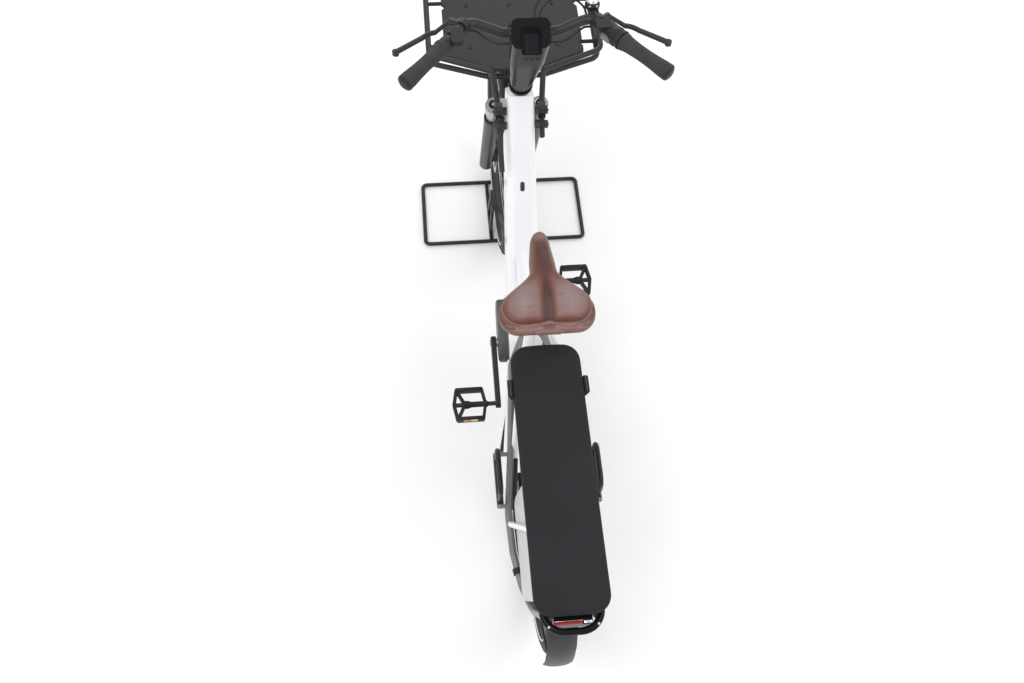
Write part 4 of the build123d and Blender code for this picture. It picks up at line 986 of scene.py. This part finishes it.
pad_low, pad_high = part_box("seat_pad")
pad_mid = (pad_low + pad_high) / 2
pad_half = (pad_high - pad_low) / 2
form = remeshed("pad_form", "seat_pad", pad_voxel)
relax(form, 6)
for vert in form.verts:
    across = (vert.co.x - pad_mid.x) / pad_half.x
    lengthways = (vert.co.y - pad_mid.y) / pad_half.y
    height = (vert.co.z - pad_low.z) / (pad_high.z - pad_low.z)
    swell = (1 - across ** 4) * (1 - lengthways ** 8)
    vert.co.z += soft_step(height) * (pad_crown * swell - pad_edge_drop)
    side_pull = soft_step(height) * soft_step((1 - height) * 1.6)
    vert.co.x += across * pad_bulge * side_pull
    if lengthways > pad_end:
        vert.co.y += pad_end_bulge * (1 - across ** 2) * soft_step((lengthways - pad_end) * 10)
    vert.co.z = max(vert.co.z, pad_low.z + pad_lift)
pad_cover = fresh("pad_cover", form, weave, "frame", 80.0)
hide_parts("seat_pad")
soften = pad_cover.modifiers.new("soften", "SUBSURF")
soften.levels = 1
soften.render_levels = 1


def rounded_ring(half_x, half_y, corner, mid, height):
    """Points round a rectangle with round corners, at one height, back to its start."""
    ring = []
    for sign_x, sign_y, start in ((1, 1, 0), (-1, 1, 90), (-1, -1, 180), (1, -1, 270)):
        for step in range(0, 91, 10):
            angle = radians(start + step)
            ring.append(Vector((mid.x + sign_x * (half_x - corner) + corner * cos(angle),
                                mid.y + sign_y * (half_y - corner) + corner * sin(angle), height)))
    return ring + ring[:1]


piping_r = 0.0016
piping_inset = 0.0025
piping_corner = 0.032
piping_drop = 0.012
piping = rounded_ring(pad_half.x - piping_inset, pad_half.y - piping_inset, piping_corner, pad_mid,
                      pad_high.z - piping_drop)
bent_bar("pad_piping", piping, piping_r, weave, "frame")
tab_size = (0.011, 0.040, 0.022)
tab_lean = 0.35
tab_from_end = 0.097
stitch_size = (0.0016, 0.0026, 0.001)
stitch_count = 9
stitch_pitch = 0.0042
form = bmesh.new()
seams = bmesh.new()
for side in (-1, 1):
    tab_place = Vector((side * (pad_half.x + 0.004), pad_high.y - tab_from_end, pad_mid.z - 0.002))
    soft_block(form, tab_size, tab_place, 0.002, Matrix.Rotation(side * tab_lean, 4, "Y"))
    for step in range(stitch_count):
        ahead = (step - stitch_count // 2) * stitch_pitch
        soft_block(seams, stitch_size, tab_place + Vector((side * 0.0025, ahead, 0.0108)), 0.0003)
fresh("pad_tabs", form, weave, "frame")
thread, _ = new_material("thread", (0.12, 0.12, 0.125), 0.7)
fresh("tab_stitches", seams, thread, "frame")

# Saddle: a padded shell in brown leather with two lobes and a channel between
# them, a seam round the wings and, under it at the back, a patch and three stitched
# lines. Painted highlights lighten the upward-facing lobes and the nose tip, and painted
# shade darkens the channel, the middle of the nose, the seam crease and the stitch
# grooves. Places along it are metres ahead of its widest part.
saddle_low, saddle_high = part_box("saddle")
saddle_rear = 0.088
saddle_mid_y = saddle_low.y + saddle_rear
saddle_voxel = 0.0035
seam_share = 0.56
seam_drop = 0.004
line_depths = (0.008, 0.0125, 0.017)
nose_half = 0.034
wing_spread = 0.062
nose_draw = 0.013
edge_fall = 0.018
nose_fall = 0.010
side_fall = 0.011
groove_depth = 0.010
lobe_rise = 0.006
tail_fall = 0.014
waist_pull = 0.10
wing_push = 0.06
patch_rise = 0.0034
crease_depth = 0.0022
line_depth = 0.0010
leather, place = new_material("brown_leather", (0.16, 0.07, 0.055), 0.42, specular=0.4)
cloud = place.noise(22.0, 5.0)
creases = place.noise(60.0, 5.0, (1, 4.5, 1))
mottle = cloud * 0.5 + creases * 0.5


def mask(name):
    """A value stored on the saddle's points."""
    return place.node("ShaderNodeAttribute", {"attribute_name": name}, {}, out=2)


edge_tone = mottle.between((0.095, 0.028, 0.018), (0.165, 0.057, 0.038))
lobe_sheen_tone = mottle.between((0.15, 0.085, 0.08), (0.30, 0.215, 0.21))
skirt_tone = mottle.between((0.16, 0.075, 0.062), (0.28, 0.165, 0.15))
painted_shade_tone = mottle.between((0.035, 0.013, 0.011), (0.075, 0.03, 0.025))
# Painted highlight: the lobes facing up and the nose tip are lightened towards a pale pinkish grey.
skin = mask("lobe").between(edge_tone, lobe_sheen_tone)
skin = mask("skirt").between(skin, skirt_tone)
# Painted shade: the channel, the middle of the nose, the seam crease and the stitch grooves are darkened.
mask("painted_shade").between(skin, painted_shade_tone).to("Base Color")
cloud.spread(0.32, 0.5).to("Roughness")
(place.cells(640.0) * 0.3 + creases * 0.8 + cloud * 0.4).bump(0.0007)


def across_share(spot):
    """How far a point is from the middle line to the edge of the saddle's outline."""
    along = spot.y - saddle_mid_y
    wings = wing_spread * soft_step((0.040 - along) / 0.085)
    half = nose_half + wings - nose_draw * soft_step((along - 0.02) / 0.06)
    return min(abs(spot.x) / half, 1.15)


def bell(value, middle, half):
    """1 at a value, falling smoothly to 0 on both sides of it."""
    return soft_step(1 - abs(value - middle) / half)


form = remeshed("saddle_form", "saddle", saddle_voxel)
for vert in form.verts:
    spot = vert.co
    height = (spot.z - saddle_low.z) / (saddle_high.z - saddle_low.z)
    along = spot.y - saddle_mid_y
    across = across_share(spot)
    upper = soft_step((height - 0.30) / 0.35)
    rear = soft_step((0.02 - along) / 0.06)
    nose = soft_step((along - 0.03) / 0.10)
    groove_half = 0.008 + 0.012 * soft_step((0.05 - along) / 0.13)
    spot.x *= 1 - waist_pull * bell(along, 0.032, 0.045) + wing_push * bell(along, -0.014, 0.034)
    groove = soft_step((0.055 - along) / 0.06) * soft_step(1 - abs(spot.x) / groove_half)
    lobe = rear * bell(abs(spot.x), 0.044, 0.040)
    tail = soft_step((-0.030 - along) / 0.055)
    drop = edge_fall * across ** 3 * rear + nose_fall * nose + side_fall * across ** 2.2 * (1 - rear)
    spot.z -= upper * (drop + groove_depth * groove - lobe_rise * lobe + tail_fall * tail)
    spot.x *= 1.045 - 0.060 * upper * rear - 0.10 * (1 - rear) * (1 - height)
    if along < 0:
        spot.y = saddle_mid_y + along * (1.085 - 0.16 * upper)
    else:
        spot.y = saddle_mid_y + along * (1.065 - 0.05 * (1 - height))
    spot.z += (1 - upper) * (1 - height) * (0.016 * nose + 0.006 * soft_step(1 - abs(spot.x) / 0.03) * rear)
relax(form, 9)
bmesh.ops.subdivide_edges(form, edges=form.edges[:], cuts=1, use_grid_fill=True)
form.normal_update()
# The first layer holds a painted highlight, the third painted shade; the second marks the paler leather of
# the skirt.
lobe_sheen_layer = form.verts.layers.float.new("lobe")
skirt_layer = form.verts.layers.float.new("skirt")
painted_shade_layer = form.verts.layers.float.new("painted_shade")
for vert in form.verts:
    spot = vert.co
    along = spot.y - saddle_mid_y
    rear = soft_step((0.03 - along) / 0.05)
    side = 1 - abs(vert.normal.z)
    seam = saddle_low.z + seam_share * (saddle_high.z - saddle_low.z)
    seam -= seam_drop * soft_step(abs(spot.x) / 0.09)
    below = soft_step((seam - spot.z) / 0.003)
    groove_half = 0.0035 + 0.006 * soft_step((0.05 - along) / 0.13)
    groove = soft_step((0.060 - along) / 0.05) * soft_step((groove_half * 1.7 - abs(spot.x)) / groove_half)
    ridge = 0.85 * soft_step((along - 0.005) / 0.03) * soft_step((0.125 - along) / 0.035)
    ridge *= soft_step((0.022 - abs(spot.x)) / 0.016)
    # Painted highlight: lobes and nose tip are lightened where their skin faces up towards the lamps.
    lit_lobes = soft_step((abs(spot.x) - groove_half * 1.1) / 0.014) * soft_step((vert.normal.z - 0.50) / 0.42)
    nose_tip_sheen = soft_step((along - 0.105) / 0.02) * soft_step((vert.normal.z - 0.55) / 0.3)
    sheen_strength = 0.25 + 0.75 * bell(along, -0.034, 0.085) * bell(abs(spot.x), 0.048, 0.060)
    vert[lobe_sheen_layer] = max(lit_lobes * sheen_strength * soft_step((0.035 - along) / 0.05), 0.55 * nose_tip_sheen)
    vert[skirt_layer] = below * rear
    patch = below * soft_step((-0.070 - along) / 0.008) * soft_step((0.029 - abs(spot.x)) / 0.006)
    patch *= soft_step((spot.z - saddle_low.z - 0.004) / 0.006)
    crease = soft_step(1 - abs(spot.z - seam) / 0.0028)
    lines = sum(soft_step(1 - abs(seam - spot.z - depth) / 0.0014) for depth in line_depths)
    sunk = side * rear * crease_depth * crease + line_depth * lines * below * rear
    vert.co += vert.normal * (patch_rise * patch - sunk)
    # Painted shade in the channel, along the nose ridge, in the sunk seam crease and in the stitch grooves.
    channel_shade = max(groove * (1 - below) * 0.9, ridge * (1 - nose_tip_sheen))
    vert[painted_shade_layer] = max(channel_shade, 0.85 * crease * rear * side, 0.3 * lines * below * rear)
cover = fresh("saddle_cover", form, leather, "frame", 80.0)
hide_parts("saddle")
